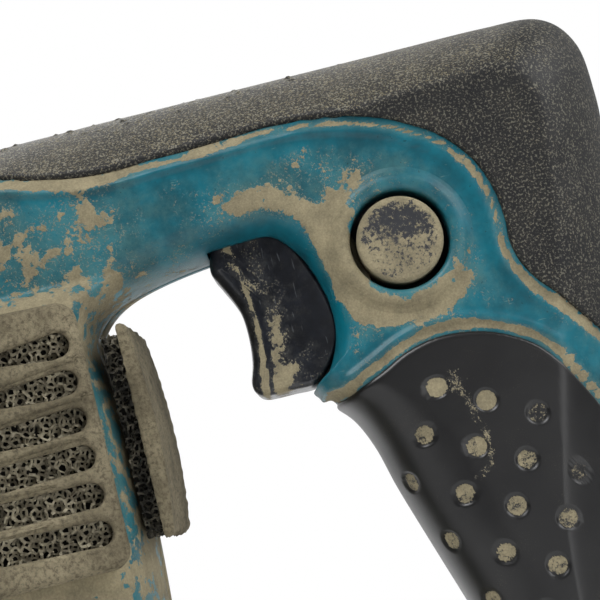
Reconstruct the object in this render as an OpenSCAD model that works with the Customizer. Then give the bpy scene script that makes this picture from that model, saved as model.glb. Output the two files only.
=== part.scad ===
// Electric hand vacuum pump: a closed rear handle and motor housing in two moulded shells,
// a universal motor, and a rotary vane pump head on a cast stand.
// The handle datum is a point inside the rear handle; every piece is drawn from it, with
// +X towards the rear, +Z up and -Y the side that carries the lock button.

/* [Stand] */
// Height of the handle datum above the underside of the stand's plate
datum_height = 134; // [132:1:164]
// Distance from the handle datum forward to the middle of the stand
stand_offset = 168; // [160:1:176]
// Length of the stand's base plate
stand_length = 118; // [100:1:140]
// Width of the stand's base plate
stand_width = 96; // [84:1:120]
// Thickness of the stand's base plate
stand_plate = 6; // [4:0.5:9]
// Distance between the stand's bolt holes along the length
bolt_spacing_x = 92; // [80:1:112]
// Distance between the stand's bolt holes across the width
bolt_spacing_y = 72; // [64:1:90]
// Radius of the stand's bolt holes
bolt_hole_r = 3.3; // [2.2:0.1:4.5]
// Height of the rubber feet below the plate
foot_height = 6; // [4:0.5:9]

/* [Handle] */
// Half of the width of the moulded handle frame
handle_half = 17; // [15:0.5:21]
// Height of the top line above the datum
top_height = 48; // [44:0.5:54]
// Distance from the datum back to the rear of the handle
rear_reach = 72.4; // [68:0.2:82]
// Wall thickness of the moulded shells
shell_wall = 2.6; // [2:0.1:3.4]
// Thickness of the rubber over the shells
rubber_skin = 2.5; // [1.5:0.1:3.2]
// How far the rubber stands proud of the shells
rubber_proud = 1.2; // [0.5:0.1:2]

/* [Controls] */
// Half of the trigger's width
trigger_half = 9.5; // [7:0.1:11]
// Radius of the trigger's pivot pin
trigger_pin_r = 2; // [1.5:0.1:2.6]
// Radius of the lock button
button_r = 9; // [7:0.1:10.5]
// How far the lock button travels when it is pressed
button_travel = 3; // [2:0.1:4]
// Gap around the lock button
button_gap = 1.3; // [0.4:0.1:1.6]
// Running clearance on pins and bearings
run_clear = 0.05; // [0.02:0.01:0.1]
// Side clearance of moving plastic pieces
side_clear = 0.5; // [0.3:0.1:1]

/* [Motor] */
// Depth of the motor shaft below the datum
shaft_drop = 27; // [24:0.5:32]
// Outer radius of the motor barrel
barrel_r = 40; // [38:0.5:46]
// Half of the width of the housing at its rear face
rear_half = 25; // [22:0.5:28]
// Length of the stator core
stator_length = 44; // [36:1:50]
// Radius of the armature core
armature_r = 21; // [17:0.5:22.5]
// Air gap between the armature and the stator
air_gap = 0.6; // [0.4:0.1:1]
// Radius of the motor shaft
shaft_r = 5; // [4:0.5:6]
// Radius of the commutator
commutator_r = 13; // [11:0.5:15]
// Radius of the cooling fan
fan_r = 31; // [26:0.5:33]
// Number of fan blades
fan_blades = 12; // [8:1:16]

/* [Pump] */
// Radius of the vane rotor
rotor_r = 23; // [20:0.5:26]
// How far a vane can slide out on the wide side
vane_throw = 8; // [6:0.5:9]
// Length of the pump cylinder
cylinder_length = 44; // [42:1:50]
// Radius of the pump body under its fins
pump_r = 42; // [41:0.5:47]
// Height of the cooling fins
fin_height = 5; // [3:0.5:6]
// Number of vanes
vane_count = 4; // [3:1:6]
// Number of head bolts
head_bolt_count = 6; // [4:1:8]
// Radius of the head bolts
head_bolt_r = 2.5; // [2:0.1:3]
// Radius of the hose spigot
spigot_r = 4.5; // [3.5:0.1:6]
// Length of the plain part of the hose spigot
spigot_length = 14; // [10:1:20]
// Radius of the vacuum gauge's case
gauge_r = 17; // [14:0.5:17.5]

/* [Hidden] */

$fn = 64;
fine = 0.01;

// Stations along the motor, measured from the handle datum
rear_face_x = -45.5;
bearing_x = -56;
bearing_w = 7;
commutator_x = -92;
commutator_w = 16;
core_x = -98 - stator_length;
windings_w = 7;
fan_w = 9;
fan_x = core_x - windings_w - 4 - fan_w;
barrel_end_x = fan_x - 3;
barrel_start_x = -92;
// Step down from the round barrel to the tapered rear end
barrel_step = 0.3;
adapter_w = 16;
adapter_x = barrel_end_x - adapter_w;
cylinder_x = adapter_x - cylinder_length;
head_w = 9;
head_x = cylinder_x - head_w;
cover_w = 16;
cover_x = head_x - cover_w;

// Handle details, measured from the handle datum
trigger_pivot = [-4, 20];
button_centre = [22.9, 5.3];
button_proud = 1.8;
// Half of the width of the switch's body, and where the lock button's inner end rests
switch_face = 5;
button_back = switch_face + button_travel + 0.5;
grip_bottom = -122;
rear_top = 12.5;
rear_bottom = -67;
inner_half = handle_half - rubber_skin + rubber_proud;
rubber_half = handle_half + rubber_proud;
front_bearing_r = 14;
rear_bearing_r = 11;
bore_r = rotor_r + vane_throw / 2;
bore_shift = bore_r - rotor_r - run_clear;
bolt_circle_r = (bore_r + bore_shift + pump_r) / 2 + 1;
gauge_x = adapter_x + adapter_w / 2;
gauge_z = pump_r + fin_height + 6 + gauge_r - shaft_drop;
port_z = pump_r + fin_height - shaft_drop;
spigot_x = adapter_x - 18;
muffler_x = adapter_x - 35;
plate_z = -datum_height;
foot_r = 9;
saddle_top = -shaft_drop - 30;

// Point on a Catmull-Rom curve between b and c
function bend(a, b, c, d, t) = 0.5 * ((2 * b) + (c - a) * t
    + (2 * a - 5 * b + 4 * c - d) * t * t + (3 * b - a - 3 * c + d) * t * t * t);
// Closed smooth outline through the points p, with n steps from each point to the next
function smooth(p, n = 4) = [for (i = [0 : len(p) - 1], k = [0 : n - 1])
    bend(p[(i + len(p) - 1) % len(p)], p[i], p[(i + 1) % len(p)], p[(i + 2) % len(p)], k / n)];

// Outside of the handle frame, from the front of the top line round the rear to the keel
frame_outer = smooth([
    [-96, 20], [-88, 42], [-70, top_height - 1], [-40, top_height], [0, top_height],
    [40, top_height], [61, top_height], [68, top_height - 3], [rear_reach - 1.4, top_height - 9],
    [rear_reach, top_height - 18], [rear_reach - 0.6, 12], [rear_reach - 2.4, -10],
    [rear_reach - 6.4, -40], [rear_reach - 13, -75], [rear_reach - 19, -105],
    [rear_reach - 24, -118], [36, grip_bottom], [0, grip_bottom + 4], [-40, grip_bottom + 12],
    [-78, grip_bottom + 20], [-93, grip_bottom + 34], [-97, -60], [-97, -20]]);
// Finger opening of the closed handle, with the lip under the trigger
frame_inner = smooth([
    [-44, 0.7], [-41.2, 5.1], [-37, 7.8], [-30, 9.8], [-22, 11.2], [-14, 12.2], [-3.4, 12.2],
    [0.4, 8.6], [3.7, 0.9], [4.9, -6.4], [3.7, -13], [1.2, -17.8], [-1.9, -20.4], [-0.6, -21.9],
    [2.5, -23.4], [7.2, -30.6], [10.1, -42.1], [13.6, -53.5], [19, -70.3], [24.5, -86],
    [23, -96], [12, -100.5], [-14, -95], [-36, -89], [-44.4, -82], [rear_face_x, -70],
    [rear_face_x, -40], [rear_face_x, -10]]);
// Edge between the top bumper and the shells, closed round the outside of the handle
bumper_region = concat(
    smooth([[-57, 42], [-54, 38.4], [-46.7, 35.9], [-34.7, 34.3], [-20, 34.5], [2, 35.2],
        [18.1, 33.1], [30, 28.4], [39.5, 20.6], [44.2, 10.3], [44.7, 0], [47.9, -9.4],
        [54.1, -16.7], [61, -25], [rear_reach + 9, -38], [rear_reach + 12, 20],
        [rear_reach + 10, 60], [0, 60], [-66, 56]]));
// Edge between the grip's rubber and the shells, closed round the grip
grip_region = smooth([[-3, -27], [5.7, -23.1], [12.9, -20.1], [18.4, -17.4], [27, -15.9],
    [35.4, -17.2], [44.6, -22], [50.5, -30.3], [56, -42], [62, -58], [82, -76], [80, -100],
    [60, -110], [36, -110], [6, -104], [2, -80], [-6, -50]]);

module place() translate([stand_offset, 0, datum_height]) children();

// Turns a shape drawn in X and Z into a slab from y0 to y1
module slab(y0, y1) translate([0, y1, 0]) rotate([90, 0, 0]) linear_extrude(y1 - y0) children();
// Puts a shape drawn about Z on the motor axis, its base at station x and its height going back
module on_axis(x) translate([x, 0, -shaft_drop]) rotate([0, 90, 0]) children();
module rod(r, h) cylinder(r = r, h = h);
module ring(r_out, r_in, h) difference() {
    rod(r_out, h);
    translate([0, 0, -1]) rod(r_in, h + 2);
}

module frame_2d() difference() {
    polygon(frame_outer);
    polygon(frame_inner);
}
module core_2d() offset(delta = -rubber_skin) frame_2d();
module hollow_2d() offset(delta = -rubber_skin - shell_wall) frame_2d();

// Motor housing: a flat-sided rear end that widens into a round barrel
module barrel(inset, past) {
    hull() {
        slab_box(rear_face_x - inset, rear_half - inset, rear_bottom + inset, rear_top - inset);
        on_axis(barrel_start_x - 2) rod(barrel_r - inset - barrel_step, 1);
    }
    on_axis(barrel_end_x - past) rod(barrel_r - inset, barrel_start_x - barrel_end_x + past);
}
barrel_reach = 300;
rear_pad_deep = 3.9;
// Upright oval end of the housing, its flat back at station x
module slab_box(x, half, z0, z1) hull() for (z = [z0 + 12, z1 - 12])
    translate([x - 6, 0, z]) rotate([0, 90, 0]) scale([1, half / 12, 1]) rod(12, 6);

// Places of the screws that hold the shells together
screw_spots = [[-82, 34], [-20, 24], [42, -8], [28, -110], [-24, -103], [-82, -84]];
// Depth at which the screw heads sit in the right shell
head_seat = handle_half - 5;
screw_reach = handle_half - 7;

// All space on the +Y side of y
module far_half(y) translate([-barrel_reach, y, -barrel_reach])
    cube([2 * barrel_reach, barrel_reach, 2 * barrel_reach]);
// Raised pad on the housing's rear face that the rear foam lies against
module rear_pad() hull() {
    translate([rear_face_x - 1, 0, -47]) cube([1, 22, 46]);
    translate([rear_face_x - 1, 0, -44]) cube([rear_pad_deep + 1, 17, 41]);
}

// One moulded half on the +Y side, before its own openings
module shell_half() difference() {
    union() {
        difference() {
            slab(0, handle_half) frame_2d();
            slab(-1, handle_half + 1) intersection() {
                frame_2d();
                union() {
                    polygon(bumper_region);
                    polygon(grip_region);
                }
            }
        }
        slab(0, inner_half) core_2d();
        intersection() {
            barrel(0, 0);
            far_half(0);
        }
        rear_pad();
    }
    slab(-1, inner_half - shell_wall) hollow_2d();
    intersection() {
        barrel(shell_wall, 1);
        far_half(-1);
    }
    trigger_pocket();
}
// Room for the trigger, its swing and its pin
module trigger_pocket() slab(-trigger_half - side_clear, trigger_half + side_clear)
    polygon([[-18, 4], [-17, 26], [14, 26], [15, -20.6], [-3.6, -20.6], [-20, -12]]);
// Screw post and pin bosses inside a half
module posts() {
    for (s = screw_spots) translate([s[0], inner_half - shell_wall + fine, s[1]])
        rotate([90, 0, 0]) rod(4, inner_half - shell_wall);
    translate([trigger_pivot[0], inner_half - shell_wall + fine, trigger_pivot[1]])
        rotate([90, 0, 0]) rod(4, inner_half - shell_wall - trigger_half - side_clear);
}
module screw_holes(r, y0, y1) for (s = screw_spots) translate([s[0], y1, s[1]]) rotate([90, 0, 0])
    rod(r, y1 - y0);
module pin_hole(r) translate([trigger_pivot[0], 20, trigger_pivot[1]]) rotate([90, 0, 0]) rod(r, 40);
// Row of vent slots in a tapered housing side
vent_top = 0;
vent_pitch = 7.7;
vent_count = 6;
vent_length = 24;
module vent_slots(half_height, y0, y1) for (i = [0 : vent_count - 1])
    slab(y0, y1) translate([-48.2, vent_top - i * vent_pitch]) rotate(-9 + i * 2.2) {
        translate([-half_height, 0]) circle(half_height);
        translate([half_height - vent_length, 0]) circle(half_height);
        translate([half_height - vent_length, -half_height])
            square([vent_length - 2 * half_height, 2 * half_height]);
    }

module right_shell() color("teal") place() difference() {
    union() {
        shell_half();
        posts();
    }
    screw_holes(1.5, -1, handle_half + 1);
    screw_holes(3.6, head_seat, 60);
    pin_hole(trigger_pin_r + 0.02);
    window();
    rear_window();
    brush_ports();
    gland_hole();
}
module left_shell() color("teal") place() mirror([0, 1, 0]) difference() {
    union() {
        shell_half();
        posts();
    }
    screw_holes(1.5, -1, screw_reach + 1);
    pin_hole(trigger_pin_r + 0.02);
    window();
    rear_window();
    brush_ports();
    gland_hole();
    translate([button_centre[0], 30, button_centre[1]]) rotate([90, 0, 0]) rod(button_r + button_gap, 30);
}
// Opening in the housing side behind the filter foam
module window() slab(16, 60) translate([-70, -41]) square([20, 40]);
module rear_window() translate([rear_face_x - 6, -1, -35]) cube([12, 11, 26]);
module brush_ports() translate([commutator_x + commutator_w / 2, 0, -shaft_drop]) rotate([-90, 0, 0])
    rod(7, 60);
module gland_hole() translate([rear_reach - 34, 0, -104]) rotate([0, 90, 0]) rod(7, 30);

module top_bumper() color("dimgray") place() difference() {
    slab(-rubber_half, rubber_half) intersection() {
        frame_2d();
        polygon(bumper_region);
    }
    slab(-inner_half, inner_half) core_2d();
}
module grip_cover() color("black") place() difference() {
    slab(-rubber_half, rubber_half) intersection() {
        frame_2d();
        polygon(grip_region);
    }
    slab(-inner_half, inner_half) core_2d();
    gland_hole();
}
module housing_screws() color("silver") place() difference() {
    union() {
        screw_holes(1.4, -screw_reach, head_seat);
        screw_holes(3.2, head_seat, head_seat + 2.4);
    }
    for (s = screw_spots) translate([s[0], head_seat + 4, s[1]]) rotate([90, 0, 0])
        for (turn = [0, 90]) rotate(turn) translate([-2, -0.4, 0]) cube([4, 0.8, 3]);
}

// Outline of the trigger: finger curve in front, arc behind, hidden arm up to the pivot
trigger_outline = smooth([[-15.9, 11.4], [-17, 9.2], [-15.6, 6.5], [-13.6, 2.3], [-12.5, -2.5],
    [-12.5, -7], [-13.4, -12], [-14.1, -15.6], [-13, -18], [-8, -18.7], [-1, -18.6],
    [3.4, -15], [6, -8], [6.4, 2], [4, 14], [1.5, 22], [-4, 25], [-9, 22], [-10.5, 14]]);
module trigger() color("midnightblue") place() difference() {
    slab(-trigger_half, trigger_half) polygon(trigger_outline);
    pin_hole(trigger_pin_r + run_clear);
}
module trigger_pin() color("silver") place()
    translate([trigger_pivot[0], inner_half - 2.8, trigger_pivot[1]]) rotate([90, 0, 0])
        rod(trigger_pin_r, 2 * inner_half - 5.6);
module trigger_spring() color("silver") place() translate([6.9, 0, -4]) rotate([0, 90, 0])
    ring(3.2, 2.2, 7);
module switch_module() color("black") place() {
    translate([14, -switch_face, -14]) cube([23, 2 * switch_face + 6, 32]);
    translate([17, -switch_face + 1, -30]) cube([16, 2 * switch_face + 2, 17]);
}
module button_place(depth) translate([button_centre[0], -depth, button_centre[1]])
    rotate([90, 0, 0]) children();
module lock_button() color("tan") place() {
    button_place(button_back) rod(button_r, handle_half + button_proud - button_back);
    button_place(inner_half - shell_wall - 2.3) rod(button_r + button_gap + 1, 2);
}
module lock_spring() color("silver") place() button_place(switch_face)
    ring(4, 3, button_back - switch_face);

// Filter cover: a slotted plate bent to the tapered side of the housing
taper = atan((barrel_r - rear_half) / (rear_face_x - barrel_start_x));
module side_sheet(x, gap, thick, length, z0, z1) translate([rear_face_x, rear_half, 0])
    rotate([0, 0, -taper]) translate([-length - x, gap, z0]) cube([length, thick, z1 - z0]);
cover_gap = 4.2;
cover_thick = 2.4;
cover_length = 31;
module filter_cover() difference() {
    side_sheet(0, 0.1, cover_gap + cover_thick, cover_length, -46, 8);
    side_sheet(1.6, -1, cover_gap + 1, cover_length - 3.2, -44.4, 6.4);
    vent_slots(2.5, 10, 60);
}
module filter_foam() side_sheet(1.9, 0.3, cover_gap - 0.5, cover_length - 3.8, -44.1, 6.1);
module right_filter_cover() color("dimgray") place() filter_cover();
module left_filter_cover() color("dimgray") place() mirror([0, 1, 0]) filter_cover();
module right_filter_foam() color("gray") place() filter_foam();
module left_filter_foam() color("gray") place() mirror([0, 1, 0]) filter_foam();

// Bowed cover over the foam strip on the housing's rear face
rear_gap = 7.6;
bow_r = 150;
module rear_posts(r) for (z = [-39, -5.5])
    translate([rear_face_x + rear_pad_deep, 0, z]) rotate([0, 90, 0])
        rod(r, rear_gap + 1 - rear_pad_deep);
module rear_filter_cover() color("dimgray") place() {
    slab(-20, 20) translate([rear_face_x + rear_gap, -42]) intersection() {
        square([5, 45]);
        translate([3.6 - bow_r, 22]) circle(bow_r, $fn = 200);
    }
    rear_posts(2);
}
module rear_filter_foam() color("gray") place() difference() {
    translate([rear_face_x + rear_pad_deep + 0.1, -18, -41.5])
        cube([rear_gap - rear_pad_deep - 0.3, 36, 41.5]);
    slab(-19, 19) offset(delta = 0.3) frame_2d();
    rear_posts(2.1);
}

module cord_gland() color("black") place() translate([rear_reach - 27, 0, -104]) rotate([0, 90, 0])
    difference() {
        union() {
            rod(6.9, 24);
            translate([0, 0, 11]) rod(8.6, 3);
        }
        translate([0, 0, -1]) rod(3.7, 30);
    }

// Motor
module brush_bulkhead() color("burlywood") place() difference() {
    union() {
        on_axis(bearing_x - bearing_w - 4) rod(rear_half + 1.5, 4);
        on_axis(bearing_x - bearing_w - fine) rod(rear_bearing_r + 3, bearing_w);
    }
    on_axis(bearing_x - bearing_w) rod(rear_bearing_r + 0.02, bearing_w + 1);
    on_axis(bearing_x - 20) rod(shaft_r + 1, 40);
}
brush_x = commutator_x + commutator_w / 2;
module both_sides() {
    children();
    mirror([0, 1, 0]) children();
}
module brush_block(width, y0, y1) translate([brush_x - width / 2, y0, -shaft_drop - width / 2])
    cube([width, y1 - y0, width]);
module brush_holders() color("goldenrod") place() both_sides() difference() {
    brush_block(9, commutator_r + 1.5, 33);
    brush_block(6.6, commutator_r, 34);
}
module carbon_brushes() color("black") place() both_sides()
    brush_block(6.4, commutator_r + 0.3, commutator_r + 14);
// Screw caps over the brushes, with a coin slot
cap_high = 6.2;
module brush_caps() color("black") place() both_sides()
    translate([brush_x, 33.2, -shaft_drop]) rotate([-90, 0, 0]) difference() {
        rod(6.8, cap_high);
        translate([-5, -0.8, cap_high - 1.2]) cube([10, 1.6, 2]);
    }
module bearing(r_out, r_in, w) difference() {
    rod(r_out, w);
    translate([0, 0, -1]) rod(r_in, w + 2);
    translate([0, 0, w - 0.6]) ring(r_out - 1.8, r_in + 1.6, 1);
}
module rear_bearing() color("silver") place() on_axis(bearing_x - bearing_w)
    bearing(rear_bearing_r, shaft_r + 0.02, bearing_w);
module front_bearing() color("silver") place() on_axis(adapter_x + adapter_w - 8)
    bearing(front_bearing_r, shaft_r + 0.02, 8);
module motor_shaft() color("silver") place() on_axis(head_x + 3) rod(shaft_r, bearing_x + 2 - head_x - 3);
module commutator() color("peru") place() on_axis(commutator_x) difference() {
    rod(commutator_r, commutator_w);
    translate([0, 0, -1]) rod(shaft_r, commutator_w + 2);
    for (i = [0 : 11]) rotate(i * 30) translate([commutator_r - 1, -0.4, -1]) cube([3, 0.8, commutator_w + 2]);
}
module armature_core() color("slategray") place() on_axis(core_x) difference() {
    rod(armature_r, stator_length);
    translate([0, 0, -1]) rod(shaft_r, stator_length + 2);
    for (i = [0 : 11]) rotate(i * 30) translate([armature_r - 6, -1.5, -1]) cube([9, 3, stator_length + 2]);
}
module armature_windings() color("sienna") place() {
    on_axis(core_x - windings_w) ring(armature_r - 2, shaft_r, windings_w);
    on_axis(core_x + stator_length) ring(armature_r - 2, shaft_r, 5);
}
module stator_core() color("slategray") place() on_axis(core_x) difference() {
    rod(barrel_r - shell_wall - 0.2, stator_length);
    translate([0, 0, -1]) rod(armature_r + air_gap, stator_length + 2);
    for (s = [-1, 1]) translate([0, s * (armature_r + barrel_r - shell_wall) / 2, -1]) rod(5, stator_length + 2);
}
module field_coils() color("sienna") place() for (x = [core_x - 8, core_x + stator_length])
    on_axis(x) ring(barrel_r - shell_wall - 3, armature_r + 2, 5);
module cooling_fan() color("ivory") place() on_axis(fan_x) {
    ring(11, shaft_r, fan_w);
    ring(fan_r, shaft_r + 3, 1.6);
    for (i = [0 : fan_blades - 1]) rotate((i + 0.25) * 360 / fan_blades)
        translate([10.5, -0.8, 0]) rotate(12) cube([fan_r - 11.5, 1.6, fan_w]);
}
module fan_baffle() color("black") place() on_axis(fan_x + fan_w + 0.8)
    ring(barrel_r - shell_wall - 0.3, fan_r - 4, 1.4);

// Pump
module bolt_ring(count, r) for (i = [0 : count - 1]) rotate(i * 360 / count + 30)
    translate([r, 0, 0]) children();
module pump_adapter() color("lightgray") place() difference() {
    union() {
        on_axis(adapter_x) rod(pump_r + fin_height, adapter_w - 4);
        on_axis(adapter_x) rod(barrel_r - shell_wall - 0.2, adapter_w + 4);
        translate([gauge_x - 6, -6, pump_r - shaft_drop]) cube([12, 12, fin_height + 2]);
    }
    on_axis(adapter_x + adapter_w - 8) rod(front_bearing_r + 0.02, 20);
    on_axis(adapter_x - 1) rod(shaft_r + 0.6, 40);
    on_axis(adapter_x + adapter_w - 2) rod(barrel_r - shell_wall - 4, 20);
    on_axis(adapter_x - 1) bolt_ring(head_bolt_count, bolt_circle_r) rod(head_bolt_r, adapter_w - 5);
}
module cylinder_bore(x, h) translate([0, 0, -bore_shift]) on_axis(x) rod(bore_r, h);
module pump_cylinder() color("lightgray") place() difference() {
    union() {
        on_axis(cylinder_x) rod(pump_r, cylinder_length);
        for (i = [0 : 4]) on_axis(cylinder_x + 2 + i * (cylinder_length - 7) / 4)
            rod(pump_r + fin_height, 3);
        translate([cylinder_x, -11, -shaft_drop]) cube([cylinder_length - 1, 22, port_z + shaft_drop]);
        translate([cylinder_x, -22, -shaft_drop - pump_r - 8]) cube([cylinder_length, 44, 24]);
    }
    cylinder_bore(cylinder_x - 1, cylinder_length + 2);
    on_axis(cylinder_x - 1) bolt_ring(head_bolt_count, bolt_circle_r) rod(head_bolt_r + 0.3, cylinder_length + 2);
    for (x = [spigot_x, muffler_x]) translate([x, 0, 0]) rod(3, 60);
    for (x = saddle_spots()) translate([x, 0, -shaft_drop - pump_r - 9]) rod(2.5, 12);
}
module slots(r, deep, thick, h) for (i = [0 : vane_count - 1]) rotate(i * 360 / vane_count + 12)
    translate([r - deep, -thick / 2, 0]) cube([deep, thick, h]);
vane_deep = 11;
rotor_gap = 0.1;
module pump_rotor() color("gray") place() on_axis(cylinder_x + rotor_gap) difference() {
    rod(rotor_r, cylinder_length - 2 * rotor_gap);
    translate([0, 0, -1]) rod(shaft_r, cylinder_length + 2);
    translate([0, 0, -1]) slots(rotor_r + 1, vane_deep + 1.5, 3, cylinder_length + 2);
}
module pump_vanes() color("black") place() on_axis(cylinder_x + rotor_gap)
    slots(rotor_r - 0.2, vane_deep, 2.9, cylinder_length - 2 * rotor_gap);
gasket_w = 0.5;
module head_gasket() color("black") place() on_axis(cylinder_x - gasket_w) difference() {
    rod(pump_r, gasket_w);
    translate([bore_shift, 0, -1]) rod(bore_r + 0.5, 3);
    translate([0, 0, -1]) bolt_ring(head_bolt_count, bolt_circle_r) rod(head_bolt_r + 0.3, 3);
}
module pump_head() color("lightgray") place() difference() {
    on_axis(head_x) rod(pump_r + fin_height, head_w - gasket_w);
    on_axis(head_x + 2) rod(shaft_r + run_clear, head_w);
    knob_place() translate([0, 0, -1]) rod(3 + run_clear, 10);
    on_axis(head_x - 1) bolt_ring(head_bolt_count, bolt_circle_r) rod(head_bolt_r + 0.3, head_w + 2);
}
module head_bolts() color("silver") place() on_axis(head_x) bolt_ring(head_bolt_count, bolt_circle_r)
    difference() {
        union() {
            rod(head_bolt_r, head_w + cylinder_length + adapter_w - 8);
            translate([0, 0, -5]) rod(head_bolt_r * 1.7, 5);
        }
        translate([0, 0, -6]) cylinder(r = head_bolt_r * 0.9, h = 4, $fn = 6);
    }
// Domed oil cover inside the ring of head bolts
cover_r = bolt_circle_r - head_bolt_r * 1.7 - 0.8;
module front_cover() color("lightgray") place() on_axis(cover_x) difference() {
    rotate_extrude() polygon([[0, 0], [cover_r - 8, 0], [cover_r - 3, 2], [cover_r, 7],
        [cover_r, cover_w], [cover_r - 3, cover_w], [cover_r - 3, 8], [cover_r - 8, 3], [0, 3]]);
    translate([10, 0, -1]) rod(7.02, 6);
}
module sight_glass() color("lightyellow") place() on_axis(cover_x - 1) translate([10, 0, 0]) rod(7, 4);
module hose_spigot() color("goldenrod") place() translate([spigot_x, 0, port_z]) difference() {
    union() {
        cylinder(r = spigot_r + 3.5, h = 7, $fn = 6);
        rod(spigot_r, 7 + spigot_length);
        translate([0, 0, 7 + spigot_length]) cylinder(r1 = spigot_r, r2 = spigot_r - 1, h = 2);
    }
    translate([0, 0, -1]) rod(spigot_r - 1.6, 40);
}
module exhaust_muffler() color("peru") place() translate([muffler_x, 0, port_z]) {
    cylinder(r = 7.5, h = 5, $fn = 6);
    translate([0, 0, 5]) rod(7, 15);
    translate([0, 0, 20]) cylinder(r1 = 7, r2 = 4, h = 4);
}
module knob_place() translate([head_x + head_w / 2, 6 - pump_r - fin_height, -shaft_drop])
    rotate([90, 0, 0]) children();
module ballast_knob() color("black") place() knob_place() difference() {
    union() {
        rod(3, 8);
        translate([0, 0, 6.6]) rod(7.5, 9);
    }
    for (i = [0 : 9]) rotate(i * 36) translate([8, 0, 8]) rod(1.4, 9);
}

// Vacuum gauge on the adapter, its dial facing -Y
module gauge_disc(r, y0, y1) translate([gauge_x, y1, gauge_z]) rotate([90, 0, 0]) rod(r, y1 - y0);
module gauge_case() color("silver") place() difference() {
    union() {
        gauge_disc(gauge_r, -9, 9);
        translate([gauge_x, 0, port_z + 2]) rod(4, 8);
    }
    gauge_disc(gauge_r - 1.5, -10, -2);
}
module gauge_dial() color("white") place() difference() {
    gauge_disc(gauge_r - 1.6, -3.2, -2);
    gauge_disc(1, -4, 0);
}
module gauge_needle() color("red") place() {
    gauge_disc(0.9, -5, -2.2);
    gauge_disc(2, -5.4, -3.4);
    translate([gauge_x, -4, gauge_z]) rotate([90, 0, 0]) rotate(225)
        translate([-4, -0.6, 0]) cube([gauge_r, 1.2, 0.6]);
}
module gauge_lens() color("lightblue", 0.4) place() gauge_disc(gauge_r - 1.6, -8.6, -7.2);

// Stand
module foot_spots() for (sx = [-1, 1], sy = [-1, 1])
    translate([sx * bolt_spacing_x / 2 - stand_offset, sy * bolt_spacing_y / 2, 0]) children();
function saddle_spots() = [cylinder_x + 8, cylinder_x + cylinder_length - 8];
module stand() color("gray") place() difference() {
    union() {
        translate([-stand_offset - stand_length / 2, -stand_width / 2, plate_z])
            cube([stand_length, stand_width, stand_plate]);
        translate([cylinder_x, -22, plate_z + fine]) cube([cylinder_length, 44, -shaft_drop - pump_r - 8 - plate_z - fine]);
        translate([barrel_x(), -20, plate_z + fine]) cube([14, 40, saddle_top - plate_z]);
    }
    on_axis(barrel_x() - 1) rod(barrel_r + 0.3, 16);
    foot_spots() translate([0, 0, plate_z - 1]) rod(bolt_hole_r, stand_plate + 2);
    translate([cylinder_x - 1, -16, plate_z + stand_plate + 6]) cube([cylinder_length + 2, 32, 28]);
    for (x = saddle_spots()) translate([x, 0, plate_z + stand_plate])
        rod(2.8, -shaft_drop - pump_r - plate_z - stand_plate);
}
function barrel_x() = -stand_offset + stand_length / 2 - 18;
module rubber_feet() color("black") place() foot_spots() translate([0, 0, plate_z - foot_height])
    ring(foot_r, bolt_hole_r + 1.5, foot_height);
module stand_screws() color("silver") place() for (x = saddle_spots())
    translate([x, 0, plate_z + stand_plate + 6 + 28 - 4]) {
        rod(2.4, -shaft_drop - pump_r - plate_z - stand_plate - 36);
        rod(4.2, 4);
    }

left_shell();
right_shell();
top_bumper();
grip_cover();
housing_screws();
trigger();
trigger_pin();
trigger_spring();
switch_module();
lock_button();
lock_spring();
left_filter_cover();
right_filter_cover();
left_filter_foam();
right_filter_foam();
rear_filter_cover();
rear_filter_foam();
cord_gland();
brush_bulkhead();
brush_holders();
carbon_brushes();
brush_caps();
rear_bearing();
motor_shaft();
commutator();
armature_core();
armature_windings();
stator_core();
field_coils();
cooling_fan();
fan_baffle();
front_bearing();
pump_adapter();
pump_cylinder();
pump_rotor();
pump_vanes();
head_gasket();
pump_head();
head_bolts();
front_cover();
sight_glass();
hose_spigot();
exhaust_muffler();
ballast_knob();
gauge_case();
gauge_dial();
gauge_needle();
gauge_lens();
stand();
rubber_feet();
stand_screws();
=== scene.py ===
"""Electric hand vacuum pump: the finished skins, rubber, foam and metal round its CAD frame."""

import math

import bmesh
import bpy
import numpy as np
from mathutils import Matrix, Vector


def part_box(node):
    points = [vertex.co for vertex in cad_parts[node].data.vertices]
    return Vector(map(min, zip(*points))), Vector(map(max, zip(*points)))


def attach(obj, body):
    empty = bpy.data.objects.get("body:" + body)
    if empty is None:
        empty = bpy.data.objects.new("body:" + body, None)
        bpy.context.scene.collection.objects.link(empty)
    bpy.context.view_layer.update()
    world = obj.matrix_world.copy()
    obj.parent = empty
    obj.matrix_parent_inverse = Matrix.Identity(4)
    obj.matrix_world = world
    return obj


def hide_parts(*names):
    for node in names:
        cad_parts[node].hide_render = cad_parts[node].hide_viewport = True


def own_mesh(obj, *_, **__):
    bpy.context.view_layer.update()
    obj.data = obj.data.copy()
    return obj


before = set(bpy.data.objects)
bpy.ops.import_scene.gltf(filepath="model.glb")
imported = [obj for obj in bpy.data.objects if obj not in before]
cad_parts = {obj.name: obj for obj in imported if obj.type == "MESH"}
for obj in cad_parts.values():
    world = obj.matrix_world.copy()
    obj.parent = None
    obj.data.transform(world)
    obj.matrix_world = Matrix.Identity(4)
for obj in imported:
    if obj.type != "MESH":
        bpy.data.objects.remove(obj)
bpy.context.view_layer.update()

# The handle datum: a point in the rear handle that every moulded piece is drawn from, in
# millimetres, with X to the rear, Y across and Z up. The lock button is set out from it.
button_at = np.array([22.9, 5.3])
low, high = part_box("lock_button")
datum = (np.array([(low.x + high.x) / 2, 0, (low.z + high.z) / 2])
         - [button_at[0] / 1000, 0, button_at[1] / 1000])


def metres(points):
    """Points in millimetres from the handle datum, in the frame's metres."""
    return np.asarray(points, float) / 1000 + datum


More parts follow.
